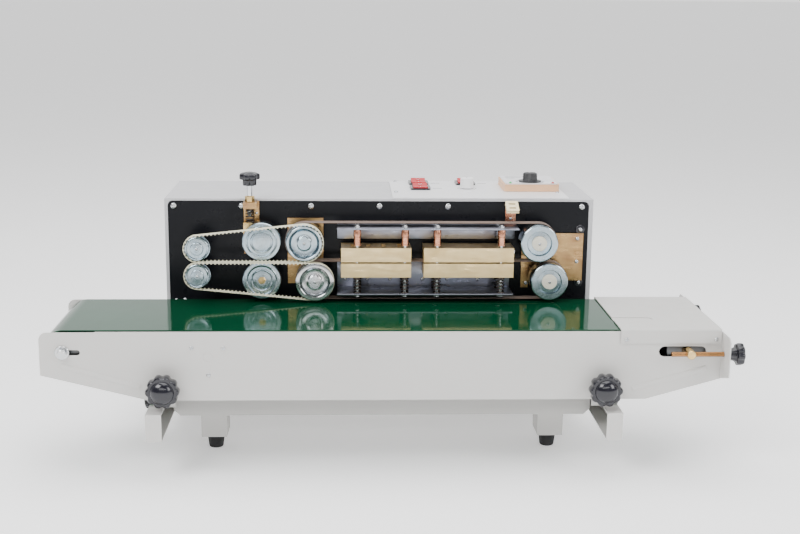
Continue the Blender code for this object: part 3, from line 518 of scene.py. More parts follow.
def keep_node(name, material, edge):
    """A frame node that keeps its shape, with its own finish and softened edges."""
    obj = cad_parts[name]
    obj.data.materials.clear()
    obj.data.materials.append(material)
    bevel = obj.modifiers.new("soft_edges", "BEVEL")
    bevel.width = edge * MM
    bevel.segments = 2
    bevel.limit_method = "ANGLE"
    bevel.angle_limit = math.radians(40)
    bevel.use_clamp_overlap = True


# ---------------------------------------------------------------- fasteners

FACE = {"front": Matrix.Identity(4), "back": Matrix.Rotation(math.pi, 4, "Z"),
        "top": Matrix.Rotation(-math.pi / 2, 4, "X"), "right": Matrix.Rotation(math.pi / 2, 4, "Z")}


def pan_head(radius):
    """A domed screw head with a cross recess, facing -Y with its seat at Y 0."""
    rise = radius * 0.62
    dome = [(0, -rise)] + [(radius * math.sin(a), -rise * (0.25 + 0.75 * math.cos(a)))
                           for a in (math.radians(12 * k) for k in range(1, 8))] + [(radius, 0), (0, 0)]
    head = lathe(dome, (0, 0, 0), "Y", 28)
    arm, width, depth = radius * 0.56, radius * 0.13, rise * 0.6
    first = solid_box((-arm, arm), (-rise - 1, -rise + depth), (-width, width))
    second = solid_box((-width, width), (-rise - 1, -rise + depth), (-arm, arm))
    return stored(carved(head, first, second))


def hex_head(across, rise, washer):
    """A hexagon bolt on its washer, facing -Y."""
    head = prism(hexagon(across / math.sqrt(3)), "Y", -1.2 - rise, -1.2, 0.5)
    ring = lathe([(0, -1.2), (washer - 0.4, -1.2), (washer, -0.8), (washer, 0), (0, 0)], (0, 0, 0), "Y", 40)
    disc = lathe([(0, -1.5 - rise), (across * 0.42, -1.5 - rise), (across * 0.46, -1.2 - rise), (0, -1.2)],
                 (0, 0, 0), "Y", 32)
    return stored(joined(head, ring, disc))


PAN = pan_head(4.0)
SMALL_PAN = pan_head(2.6)
TINY_PAN = pan_head(1.9)
HEX = hex_head(10.0, 4.4, 8.6)


def spun(face, degrees):
    """A fastener's rotation: facing that way, and turned about its own axis."""
    return FACE[face] @ Matrix.Rotation(math.radians(degrees), 4, "Y")


def screws(name, head, places, body, face="front"):
    """Screw heads at a list of centres, each turned its own way."""
    turns = [(centre, spun(face, 37 * k % 90)) for k, centre in enumerate(places)]
    piece(name, copies(head, turns), SCREW_ZINC, body, sharp=40)


# ---------------------------------------------------------------- belts

def belt_line(first, second):
    """A closed line round two wheels, each (x, z, radius): its length, and a function from a
    distance along it to the point and its outward direction."""
    (x1, z1, r1), (x2, z2, r2) = first, second
    gap = math.hypot(x2 - x1, z2 - z1)
    heading = math.atan2(z2 - z1, x2 - x1)
    lean = math.acos((r1 - r2) / gap)
    run = math.sqrt(gap * gap - (r1 - r2) ** 2)
    over, under = heading + lean, heading - lean
    arcs = (r2 * 2 * lean, r1 * (2 * math.pi - 2 * lean))
    total = arcs[0] + arcs[1] + 2 * run

    def rim(wheel_line, angle):
        x, z, r = wheel_line
        return (x + r * math.cos(angle), z + r * math.sin(angle))

    def straight(start, end, angle, share):
        a, b = rim(start, angle), rim(end, angle)
        return (a[0] + (b[0] - a[0]) * share, a[1] + (b[1] - a[1]) * share), angle

    def at(s):
        s %= total
        if s < arcs[0]:
            return rim(second, under + s / r2), under + s / r2
        s -= arcs[0]
        if s < run:
            return straight(second, first, over, s / run)
        s -= run
        if s < arcs[1]:
            return rim(first, over + s / r1), over + s / r1
        return straight(first, second, under, (s - arcs[1]) / run)

    return total, at


def wrapped(first, second, y, section, count):
    """A belt round two wheels.  section(k) gives the k-th sample's inner and outer offsets from the
    line, and the rounding of its outer edges."""
    total, at = belt_line(first, second)
    bm = bmesh.new()
    rows = []
    for k in range(count):
        (x, z), angle = at(total * k / count)
        inner, outer, edge = section(k)
        row = []
        for offset, side in ((inner, y[0]), (outer - edge, y[0]), (outer, y[0] + edge),
                             (outer, y[1] - edge), (outer - edge, y[1]), (inner, y[1])):
            row.append(bm.verts.new((x + offset * math.cos(angle), side, z + offset * math.sin(angle))))
        rows.append(row)
    for a, b in zip(rows, rows[1:] + rows[:1]):
        for i in range(6):
            bm.faces.new((a[i], a[(i + 1) % 6], b[(i + 1) % 6], b[i]))
    return bm


def smooth_belt(first, second, y, thickness, edge, count):
    return wrapped(first, second, y, lambda k: (0.0, thickness, edge), count)


def toothed_belt(first, second, y, thickness, tooth, pitch):
    """A timing belt with a whole number of teeth, as close to the pitch as fits."""
    total, _ = belt_line(first, second)
    teeth = round(total / pitch)
    depths = (0.0, 0.0, tooth, tooth, tooth * 0.98, tooth * 0.98)
    return wrapped(first, second, y, lambda k: (depths[k % 6], thickness, 0.3), teeth * 6)


def wheel_of(node, radius):
    """A wheel as belt_line takes it."""
    centre = middle(node)
    return (centre.x, centre.z, radius)


# ---------------------------------------------------------------- housing and base

KEPT = (
    (CASE, 0.7, ("housing_shell", "rear_cover")),
    (BLACK_PLATE, 0.4, ("front_plate",)),
    (FRAME_PAINT, 0.5, ("base_frame", "left_arm", "right_arm", "front_side_panel", "bed_and_back_panel")),
    (CAST, 1.0, ("gear_motor",)),
    (DIAL_BLACK, 0.4, ("fan_rotor",)),
    (BLACK_PLASTIC, 0.4, ("cable_gland",)),
    (BRONZE_PLATE, 0.4, ("press_frame",)),
    (BRASS, 0.5, ("press_carriage",)),
    (BRONZE_PLATE, 0.5, ("bearing_plate", "tension_plate")),
    (ROLLER_PAINTED_SHADE, 0.4, ("head_roller", "tail_roller", "drive_roller")),
    (BLOCK_BRASS, 0.7, ("lower_heating_block", "upper_heating_block", "lower_cooling_block",
                        "upper_cooling_block")),
)
for finish, softening, names in KEPT:
    for name in names:
        keep_node(name, finish, softening)

plate_face = low("front_plate").y
screws("front_plate_screws", PAN,
       [(x, plate_face, 299.0) for x in (-282.0, -193.9, -103.5, -14.0, 76.0, 165.7, 253.0)], "base")
screws("front_plate_low_screws", SMALL_PAN,
       [(-281.5, plate_face, 172.3), (-270.4, plate_face, 173.2)], "base")
WASHER_X, WASHER_Z = 252.0, (268.6, 197.6)
washers = [lathe([(0, -2.6), (2.6, -2.5), (3.4, -1.6), (5.6, -1.4), (6.2, -0.8), (6.2, 0), (0, 0)],
                 (WASHER_X, plate_face, z), "Y", 36) for z in WASHER_Z]
piece("front_plate_washers", joined(*washers), BLACK_PLASTIC, "base")
screws("washer_screws", SMALL_PAN, [(WASHER_X, plate_face - 2.0, z) for z in WASHER_Z], "base")
case_right = high("housing_shell").x
screws("case_right_screws", SMALL_PAN, [(case_right, y, z) for y in (60, 150) for z in (95, 270)], "base",
       face="right")
cover_back = high("rear_cover").y
screws("rear_cover_screws", SMALL_PAN, [(x, cover_back, z) for x in (-280, -12, 255) for z in (62, 296)],
       "base", face="back")

for end in ("front", "rear"):
    for hand in ("left", "right"):
        node = f"{end}_{hand}_foot"
        centre, top = middle(node), high(node).z
        foot = lathe([(0, 0), (8.2, 0), (9.0, 0.8), (9.3, 2.0), (10.2, 9.0), (11.2, 16.5), (12.2, 17.0),
                      (12.5, 17.8), (12.5, top), (0, top)], (centre.x, centre.y, 0), "Z", 48)
        piece(f"{node}_rubber", foot, RUBBER, "base", replaces=(node,))


# ---------------------------------------------------------------- controls on the top

sheet_low, sheet_top = low("control_panel").z, 310.3
SHEET_X = (4.0, 236.0)
SHEET_Y = (low("control_panel").y, high("control_panel").y)
SWITCHES = {"rocker_power": ("power_switch", 44.0, 108.5), "rocker_fan": ("fan_switch", 44.0, 155.0),
            "rocker_heat": ("heat_switch", 109.8, 155.0)}


def switch_well(x, y):
    """The opening that a rocker sits in."""
    return solid_box((x - 10.5, x + 10.5), (y - 12.8, y + 12.8), (300, 320))


def tick(centre, degrees, reach, half, rise):
    """A dial mark between two radii, lying in that direction from the centre."""
    mark = solid_box(reach, (-half, half), (0, rise))
    turn = Matrix.Translation(centre) @ Matrix.Rotation(math.radians(degrees), 4, "Z")
    bmesh.ops.transform(mark, matrix=turn, verts=mark.verts)
    return mark


sheet = prism(rounded((SHEET_X[0], SHEET_Y[0]), (SHEET_X[1], SHEET_Y[1]), 1.5), "Z", sheet_low, sheet_top,
              0.4)
cutters = [switch_well(x, y) for _, x, y in SWITCHES.values()]
cutters.append(solid_box((SHEET_X[0] - 5, SHEET_X[1] + 5), (64.8, 65.3), (sheet_top - 0.35, 320)))
piece("control_sheet", carved(sheet, *cutters), PANEL_WHITE, "base", replaces=("control_panel",))
bezels = []
for _, x, y in SWITCHES.values():
    rim = prism(rounded((x - 13.2, y - 15.6), (x + 13.2, y + 15.6), 1.6), "Z", sheet_top,
                sheet_top + 2.3, 0.6)
    bezels.append(carved(rim, switch_well(x, y)))
piece("switch_bezels", joined(*bezels), BLACK_PLASTIC, "base")
screws("control_sheet_screws", SMALL_PAN,
       [(x, y, sheet_top) for x, y in ((12, 172), (9.5, 74), (228, 172), (228, 74))], "base", face="top")
for node, (body, x, y) in SWITCHES.items():
    z = sheet_top
    outline = [(y - 12.3, z + 1.8), (y + 12.3, z + 1.8), (y + 12.3, z + 5.9), (y + 11.6, z + 6.2)]
    outline += [(y + 11.6 - 23.2 * k / 8, z + 6.2 - 4.6 * math.sin(math.pi * k / 8 * 0.62))
                for k in range(1, 8)]
    outline += [(y - 11.6, z + 4.0), (y - 12.3, z + 3.6)]
    rocker = prism(outline, "X", x - 10.0, x + 10.0, 0.7, 3)
    piece(f"{node}_cap", rocker, RED, body, origin=(x, y, z + 3.0), replaces=(node,))
    ring = lathe([(2.0, 0.0), (2.0, 0.25), (2.7, 0.25), (2.7, 0.0), (2.0, 0.0)], (x, y + 7.6, z + 4.9),
                 "Z", 24)
    bar = solid_box((x - 0.35, x + 0.35), (y - 10.0, y - 5.4), (z + 2.6, z + 3.75), 0.1)
    piece(f"{node}_marks", joined(ring, bar), WHITE, body)

dashes = [solid_box((x + 17.5, x + 30.0), (y - 0.8, y + 0.8), (sheet_top, sheet_top + 0.12))
          for _, x, y in SWITCHES.values()]
SPEED_MARKS = (108.5, 109.5, sheet_top)
ticks = [tick(SPEED_MARKS, 225 - 27 * k, (11.6, 13.4 if k % 5 else 14.4), 0.28, 0.12)
         for k in range(11)]
piece("sheet_marks", joined(*dashes, *ticks), MARKS, "base")

speed = middle("speed_knob")
grip = lobed([(0, 15.0), (7.4, 15.0), (8.4, 14.6), (8.9, 13.6), (9.2, 3.0), (9.3, 1.0), (0, 1.0)],
             (speed.x, speed.y, sheet_top), "Z", 24, 0.03)
piece("speed_knob_grip", grip, WHITE, "speed_dial", origin=(speed.x, speed.y, sheet_top),
      replaces=("speed_knob",))
pointer = solid_box((speed.x - 0.5, speed.x + 0.5), (speed.y + 2.0, speed.y + 8.0),
                    (sheet_top + 14.8, sheet_top + 15.1))
piece("speed_knob_pointer", pointer, MARKS, "speed_dial")

CASE_X, CASE_Y = (157.5, 232.0), (82.0, 158.0)
case_low, case_top = low("temperature_controller").z, high("temperature_controller").z
case = prism(rounded((CASE_X[0], CASE_Y[0]), (CASE_X[1], CASE_Y[1]), 3.0), "Z", case_low,
             case_top - 1.2, 0.8, 3)
piece("controller_case", case, PEACH, "base", replaces=("temperature_controller",))
label = prism(rounded((CASE_X[0] + 1.6, CASE_Y[0] + 1.6), (CASE_X[1] - 1.6, CASE_Y[1] - 1.6), 2.4), "Z",
              case_top - 1.3, case_top, 0.4)
piece("controller_label", label, LABEL, "base")
dial = middle("temperature_knob")
dial_low = low("temperature_knob").z
scale = [tick((dial.x, dial.y, case_top), 225 - 9 * k, (17.2, 19.0 if k % 5 else 20.6), 0.25, 0.15)
         for k in range(31)]
scale += [solid_box((CASE_X[0] + 8, CASE_X[0] + 8 + span), (y, y + 1.1), (case_top, case_top + 0.12))
          for y, span in ((148.0, 30.0), (143.5, 22.0), (134.0, 12.0))]
piece("controller_scale", joined(*scale), MARKS, "base")
knob = lobed([(0, 11.9), (7.8, 11.9), (8.8, 11.5), (9.6, 10.4), (10.0, 1.9), (10.4, 1.3), (15.2, 1.1),
              (15.6, 0.7), (15.6, 0.0), (0, 0.0)], (dial.x, dial.y, dial_low), "Z", 28, 0.035)
piece("temperature_knob_grip", knob, DIAL_BLACK, "temperature_dial", origin=(dial.x, dial.y, dial_low),
      replaces=("temperature_knob",))
pointer = solid_box((dial.x - 0.5, dial.x + 0.5), (dial.y + 2.5, dial.y + 8.6),
                    (dial_low + 11.7, dial_low + 12.0))
piece("temperature_knob_pointer", pointer, WHITE, "temperature_dial")
for colour, material, x in (("green", GREEN_LAMP, 166.0), ("red", RED_LAMP, 224.0)):
    lens = lathe([(0, 2.2), (0.9, 2.0), (1.6, 1.3), (1.9, 0.4), (2.5, 0.35), (2.5, 0), (0, 0)],
                 (x, 89.0, case_top), "Z", 28)
    piece(f"{colour}_lamp", lens, material, "base")


# ---------------------------------------------------------------- wheels

def gear_ring(radius, teeth, y):
    """A spur gear of that pitch radius."""
    outline = []
    for k in range(teeth):
        for r, share in ((radius - 1.1, -0.3), (radius + 0.8, -0.12), (radius + 0.8, 0.12),
                         (radius - 1.1, 0.3)):
            angle = 2 * math.pi * (k + share) / teeth
            outline.append((r * math.cos(angle), r * math.sin(angle)))
    return prism(outline, "Y", *y, 0.2, 1)


def wheel(node, body, profile, material=WHEEL, extras=()):
    """A turned wheel in place of its node, which gives its centre; extras are solids round the origin."""
    centre = middle(node)
    centre.y = 0
    bm = joined(lathe(profile, (0, 0, 0), "Y", 96), *extras)
    bmesh.ops.translate(bm, vec=centre, verts=bm.verts)
    piece(f"{node}_turned", bm, material, body, origin=centre, sharp=28, replaces=(node,))
    return centre


def centre_screw(node, body, centre, y):
    screws(f"{node}_screw", TINY_PAN, [(centre.x, y, centre.z)], body)


GEAR_R = (middle("lower_drive_wheel") - middle("upper_drive_wheel")).xz.length / 2
GEAR_Y = (44, 54)
DRIVE = [(0, -18.2), (8, -18.2), (8.6, -17.7), (8.6, -15.2), (9.6, -14.6), (12, -14.3), (16.5, -15.2),
         (18.6, -17.2), (19.3, -18.8)]
TRACK = [(22.7, -8.2), (24.3, -6.6), (24.3, 10.5), (23.7, 11.4), (6, 11.5), (6, 70), (0, 70)]
centre = wheel("lower_drive_wheel", "lower_drive",
               DRIVE + [(19.9, -19.2), (23.6, -19.2), (24.5, -18.9), (24.7, -18.4), (24.7, -17.9),
                        (22.7, -17.8)] + TRACK, DISH_PAINTED_HIGHLIGHT, (gear_ring(GEAR_R, 26, GEAR_Y),))
centre_screw("lower_drive_wheel", "lower_drive", centre, -18.1)
centre = wheel("upper_drive_wheel", "upper_drive",
               DRIVE + [(19.9, -19.2), (21.9, -19.2), (22.6, -18.8), (22.7, -18.0)] + TRACK, WHEEL,
               (gear_ring(GEAR_R, 26, GEAR_Y),))
centre_screw("upper_drive_wheel", "upper_drive", centre, -18.1)

PRESS = [(0, -7.4), (6.2, -7.4), (6.4, -7.0), (9.6, -6.9), (12, -6.6), (12.4, -7.8), (13.6, -8.1),
         (14.4, -7.8), (14.8, -7), (17.8, -6.8), (18.3, -7.7), (19.5, -8.1), (20.2, -7.6), (23.8, -7.4),
         (24.9, -6.2), (24.9, 10.5), (24.3, 11.3)]
centre = wheel("lower_press_wheel", "lower_press", PRESS + [(5, 11.5), (5, 25.4), (0, 25.4)])
nut = lathe([(0, -8.2), (4.6, -8.2), (5.2, -7.8), (5.2, -7.3), (0, -7.3)], (0, 0, 0), "Y", 6)
nut = carved(nut, solid_box((-7, 7), (-9, -7.8), (-0.5, 0.5)))
bmesh.ops.translate(nut, vec=centre, verts=nut.verts)
piece("lower_press_nut", nut, BRASS, "lower_press")
wheel("upper_press_wheel", "upper_press", PRESS + [(5, 11.3), (5, 19.8), (0, 19.8)])

IDLER = [(0, -17.2), (8.0, -17.2), (8.2, -14.0), (15, -13.6), (15.6, -15.6), (16.2, -17), (22.8, -17),
         (24.0, -16.2), (24.3, -15.4), (24.3, 10.2), (23.7, 11), (7, 11), (7, 13), (4, 13), (4, 25.4),
         (0, 25.4)]
for node, body in (("lower_idler_wheel", "lower_idler"), ("upper_idler_wheel", "upper_idler")):
    centre = wheel(node, body, IDLER)
    cap = lathe([(0, -17.9), (3.9, -17.9), (4.1, -17.4), (5.2, -17.4), (5.4, -17.9), (6.6, -17.9),
                 (6.8, -17.4), (8.0, -17.4), (8.2, -17.8), (9.3, -17.6), (9.8, -16.8), (9.8, -13.9),
                 (8.2, -13.8), (8.2, -16.4), (0, -16.4)], centre, "Y", 64)
    piece(f"{node}_cap", cap, HUB, body)
    centre_screw(node, body, centre, -17.8)

PULLEY = [(0, -19.2), (3.4, -19.2), (3.8, -18.8), (7.6, -18.5), (8.2, -18.0), (8.6, -16), (12.6, -15.8),
          (13.2, -17.6), (14.6, -18.0), (15.3, -17.6), (15.3, -9), (16.3, -9), (16.3, -8), (4, -8), (4, 25.4),
          (0, 25.4)]
for node, body in (("lower_guide_pulley", "lower_pulley"), ("upper_guide_pulley", "upper_pulley")):
    centre = wheel(node, body, PULLEY)
    centre_screw(node, body, centre, -19.1)


# ---------------------------------------------------------------- belts and bands

def stretched(obj):
    """A loop with its placement baked into its mesh, riding on no body."""
    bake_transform(obj)


for half in ("lower", "upper"):
    pulley = wheel_of(f"{half}_guide_pulley", 15.5)
    drive = wheel_of(f"{half}_drive_wheel", 22.9)
    belt = toothed_belt(pulley, drive, (-17.5, -9.5), 2.2, 1.45, 5.0)
    piece(f"{half}_guide_belt_loop", belt, GUIDE, "base", replaces=(f"{half}_guide_belt",))
    first = wheel_of(f"{half}_drive_wheel", 24.5)
    second = wheel_of(f"{half}_idler_wheel", 24.5)
    band = smooth_belt(first, second, (-5.5, 9.5), 0.6, 0.15, 300)
    loop = piece(f"{half}_seal_band_loop", band, SEAL, None, replaces=(f"{half}_seal_band",))
    stretched(loop)

head_x, tail_x = middle("head_roller").x, middle("tail_roller").x
roller_z = middle("head_roller").z
belt = smooth_belt((head_x, roller_z, 24.8), (tail_x, roller_z, 24.8),
                   (low("conveyor_belt").y, high("conveyor_belt").y), 1.2, 0.4, 800)
loop = piece("conveyor_belt_loop", belt, BELT, None, replaces=("conveyor_belt",))
stretched(loop)


# ---------------------------------------------------------------- blocks on their shelves

POST_X = (-43.3, 18.2, 59.9, 143.1)
POST_Y = (-12.5, 15.5)
frame_low, frame_high = low("block_frame"), high("block_frame")
back_y = (23.7, frame_high.y)
LOWER_SHELF_Z, UPPER_SHELF_Z = (189.7, 191.7), (275.5, 277.5)
lower_x, upper_x = (frame_low.x, 159.1), (frame_low.x, frame_high.x)
shelf_y = (-19.0, frame_high.y)
shelves = [solid_box(lower_x, shelf_y, LOWER_SHELF_Z, 0.5),
           solid_box(lower_x, back_y, (190.2, 226.0), 0.4),
           solid_box(upper_x, shelf_y, UPPER_SHELF_Z, 0.5),
           solid_box(upper_x, back_y, (256.0, 277.0), 0.4)]
piece("block_shelves", joined(*shelves), SHELF_ZINC, "base", replaces=("block_frame",))
rods, nuts, collars = [], [], []
for x in POST_X:
    for y in POST_Y:
        rods.append(lathe([(0, 280.9), (1.6, 280.9), (2.1, 280.4), (2.1, 187.4), (1.6, 186.9), (0, 186.9)],
                          (x, y, 0), "Z", 24))
        for base, rise in ((UPPER_SHELF_Z[1], 2.6), (187.3, 2.4)):
            nuts.append(prism(hexagon(4.0, (x, y), 11), "Z", base, base + rise, 0.3))
    collars.append(lathe([(2.2, 275.4), (4.8, 275.4), (5.0, 275.0), (5.0, 266.4), (4.5, 265.8), (4.5, 256.2),
                          (5.0, 255.8), (5.0, 254.6), (2.2, 254.6), (2.2, 275.4)],
                         (x, POST_Y[0], 0), "Z", 32))
piece("block_rods", joined(*rods), SCREW_ZINC, "base")
piece("block_nuts", joined(*nuts), SCREW_ZINC, "base")
piece("block_collars", joined(*collars), COPPER, "base")
screws("lower_shelf_screws", SMALL_PAN,
       [(x, back_y[0], 202.0) for x in (-58.7, -29.7, 0.3, 43.8, 75.9, 116.9)], "base")
screws("upper_shelf_screws", TINY_PAN, [(x, back_y[0], 270.0) for x in (-12.0, 38.0, 102.0)], "base")
for side, places in (("cooling", POST_X[:2]), ("heating", POST_X[2:])):
    wires = [coil(x, y, 191.8, 212.7, 4.6, 0.75, 6) for x in places for y in POST_Y]
    springs = piece(f"{side}_block_springs", joined(*wires), SPRING_STEEL, "base", sharp=60)
    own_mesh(springs)
heater = lathe([(0, 162.8), (2.8, 162.8), (3.2, 162.4), (3.2, 158.6), (0, 158.6)], (0, 3.0, 242.3), "X", 28)
piece("upper_heater_cartridge", heater, SCREW_ZINC, "base")

TERMINAL_X, TERMINAL_MID = (151.8, 165.7), 158.7
bracket = joined(solid_box(TERMINAL_X, (24.0, 25.6), (278.6, 303.6), 0.4),
                 solid_box(TERMINAL_X, (15.0, 25.6), (296.0, 297.4), 0.4))
piece("terminal_bracket", bracket, COPPER, "base", replaces=("heater_terminal",))
SLOT_Y = (-6.0, 3.6)
plate = prism(rounded((-7.7, -12.0), (7.7, 10.0), 0.8), "Z", 0, 4.0, 0.5)
slots = [solid_box((-4.4, 4.4), (y - 1.7, y + 1.7), (1.6, 6)) for y in SLOT_Y]
plate = carved(plate, *slots)
# Thin black sheets at the bottoms of the slots: painted shade in the slots.
slot_shade_fills = joined(*[solid_box((-4.3, 4.3), (y - 1.6, y + 1.6), (1.4, 1.9)) for y in SLOT_Y])
leaning = Matrix.Translation((TERMINAL_MID, 12.0, 299.6)) @ Matrix.Rotation(math.radians(24), 4, "X")
for bm in (plate, slot_shade_fills):
    bmesh.ops.transform(bm, matrix=leaning, verts=bm.verts)
piece("terminal_ceramic_body", plate, IVORY, "base")
piece("terminal_slot_shade", slot_shade_fills, DIAL_BLACK, "base")
screws("terminal_screws", TINY_PAN, [(TERMINAL_MID, 24.0, z) for z in (293.0, 283.5)], "base")


# ---------------------------------------------------------------- pressing screw

press = middle("press_screw")
spring = coil(press.x, press.y, 279.3, 297.2, 5.4, 0.7, 6)
wire = piece("press_spring_wire", spring, SPRING_STEEL, "base", sharp=60, replaces=("press_spring",))
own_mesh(wire)
screw = lathe([(0, 331.0), (3.0, 331.0), (3.5, 330.4), (3.5, 289.4), (2.4, 287.6), (0, 287.6)],
              (press.x, press.y, 0), "Z", 40)
piece("press_screw_rod", screw, CHROME, "pressure_screw", origin=(press.x, press.y, 300),
      replaces=("press_screw",))
collar = lathe([(3.7, 313.6), (5.6, 313.6), (6.3, 312.9), (6.3, 306.2), (3.7, 306.2), (3.7, 313.6)],
               (press.x, press.y, 0), "Z", 6)
piece("press_lock_nut", collar, BRASS, "base")
knob = lobed([(0, 345.0), (5.2, 344.8), (7.0, 344.2), (10.6, 343.6), (12.9, 342.6), (13.5, 341.2),
              (13.5, 337.0), (12.9, 335.8), (10.0, 335.2), (9.2, 334.4), (8.9, 328.3), (8.4, 327.6),
              (0, 327.6)], (press.x, press.y, 0), "Z", 7, 0.15)
piece("press_knob_grip", knob, BLACK_PLASTIC, "pressure_knob", origin=(press.x, press.y, 335),
      replaces=("press_knob",))
MOUNT_FACE = 22.2
screws("bearing_plate_bolts", SMALL_PAN,
       [(x, MOUNT_FACE, z) for x, z in ((-128.6, 264.0), (-93.5, 262.5), (-111.0, 232.0))], "base")
screws("press_frame_screws", TINY_PAN, [(-174.5, 23.4, z) for z in (243.0, 290.0)], "base")
screws("tension_plate_screws", SMALL_PAN,
       [(x, MOUNT_FACE, z) for x, z in ((248.0, 257.0), (181.0, 197.0), (248.0, 226.0))],
       "band_tensioner")


# ---------------------------------------------------------------- conveyor fittings

PANEL_FACES = {"front": -154.0, "back": 11.0}
BOLT_LIFT = 0.3
for side, face in PANEL_FACES.items():
    seat = face - BOLT_LIFT if side == "front" else face + BOLT_LIFT
    bolt = copies(HEX, [((head_x, seat, roller_z), spun(side, 12))])
    if side == "front":
        piece("head_bolt_front", bolt, SCREW_ZINC, "conveyor", replaces=("head_axle",))
    else:
        piece("head_bolt_back", bolt, SCREW_ZINC, "conveyor")
    places = [(x, face, z) for x, z in ((-240.9, 158.0), (-203.7, 158.0), (-221.5, 124.9))]
    screws(f"{side}_panel_screws", SMALL_PAN, places, "conveyor", face=side)
shaft = lathe([(0, -153.0), (2.9, -153.0), (2.9, -151.8), (5.5, -151.4), (5.5, 9.0), (2.9, 9.2),
               (2.9, 11.0), (0, 11.0)], (head_x, 0, roller_z), "Y", 32)
piece("head_shaft", shaft, SCREW_ZINC, "conveyor")

drive = middle("drive_roller")
cap = lathe([(0, -154.2), (5.2, -154.2), (5.5, -154.0), (5.5, -153.3), (0, -153.3)],
            (drive.x, 0, drive.z), "Y", 40)
piece("drive_bearing_cap", cap, FRAME_PAINT, "conveyor")
cover_low, cover_high = low("end_cover"), high("end_cover")
COVER_Z = (163.0, 180.5)
fold = 2.2
outline = [(cover_low.y, COVER_Z[0])]
outline += arc((cover_low.y + fold, COVER_Z[1] - fold), fold, 180, 90, 6)
outline += arc((cover_high.y - fold, COVER_Z[1] - fold), fold, 90, 0, 6)
outline += [(cover_high.y, COVER_Z[0])]
outer = prism(outline, "X", cover_low.x, cover_high.x, 0.3, 1)
hollow = solid_box((cover_low.x - 5, cover_high.x - 1.5), (cover_low.y + 1.5, cover_high.y - 1.5),
                   (150, 179.3))
groove = prism(rounded((258.0, -112.0), (322.0, -97.0), 7.4), "Z", 179.6, 190)
slits = [solid_box((cover_high.x - 2.5, cover_high.x + 5), (y, y + 2.1), (150, 177.5))
         for y in (-154.3, 9.2)]
piece("end_cover_sheet", carved(outer, hollow, groove, *slits), FRAME_PAINT, "conveyor",
      replaces=("end_cover",))
for name, y, face in (("end_cover_screws", cover_low.y, "front"),
                      ("end_cover_back_screws", cover_high.y, "back")):
    screws(name, SMALL_PAN, [(x, y, 168.3) for x in (279.1, 388.0)], "conveyor", face=face)

axle = middle("tension_axle")
TENSION_Y = {"front": -166.0, "rear": 23.0}
for side, y in TENSION_Y.items():
    body = f"{side}_tensioner"
    rod = lathe([(0, 331.4), (2.4, 331.4), (3.0, 332.0), (3.0, 402.0), (0, 402.0)], (0, y, roller_z), "X", 32)
    piece(f"{side}_tension_rod", rod, ROD_THREAD, body, origin=(0, y, roller_z))
    grip = lobed([(0, 420.0), (5.5, 419.8), (7.6, 419.0), (10.4, 418.4), (12.9, 417.4), (13.6, 415.8),
                  (13.6, 411.0), (12.8, 409.6), (9.8, 408.6), (8.0, 405.6), (7.5, 403.4), (7.5, 399.6),
                  (6.9, 399.0), (0, 399.0)], (0, y, roller_z), "X", 8, 0.11)
    piece(f"{side}_tension_grip", grip, BLACK_PLASTIC, body, origin=(0, y, roller_z),
          replaces=(f"{side}_tension_screw",))
ends = low("tension_axle").y, high("tension_axle").y
trunnion = lathe([(0, ends[0]), (4.6, ends[0]), (5.3, ends[0] + 0.7), (5.5, ends[0] + 1.4),
                  (5.5, ends[1] - 1.4), (5.3, ends[1] - 0.7), (4.6, ends[1]), (0, ends[1])],
                 (axle.x, 0, roller_z), "Y", 48)
holes = [lathe([(0, axle.x - 12), (3.2, axle.x - 12), (3.2, axle.x + 12), (0, axle.x + 12)],
               (0, y, roller_z), "X", 24) for y in TENSION_Y.values()]
piece("tension_axle_turned", carved(trunnion, *holes), BRASS, "trunnion", replaces=("tension_axle",))


# ---------------------------------------------------------------- hand knobs on the arms

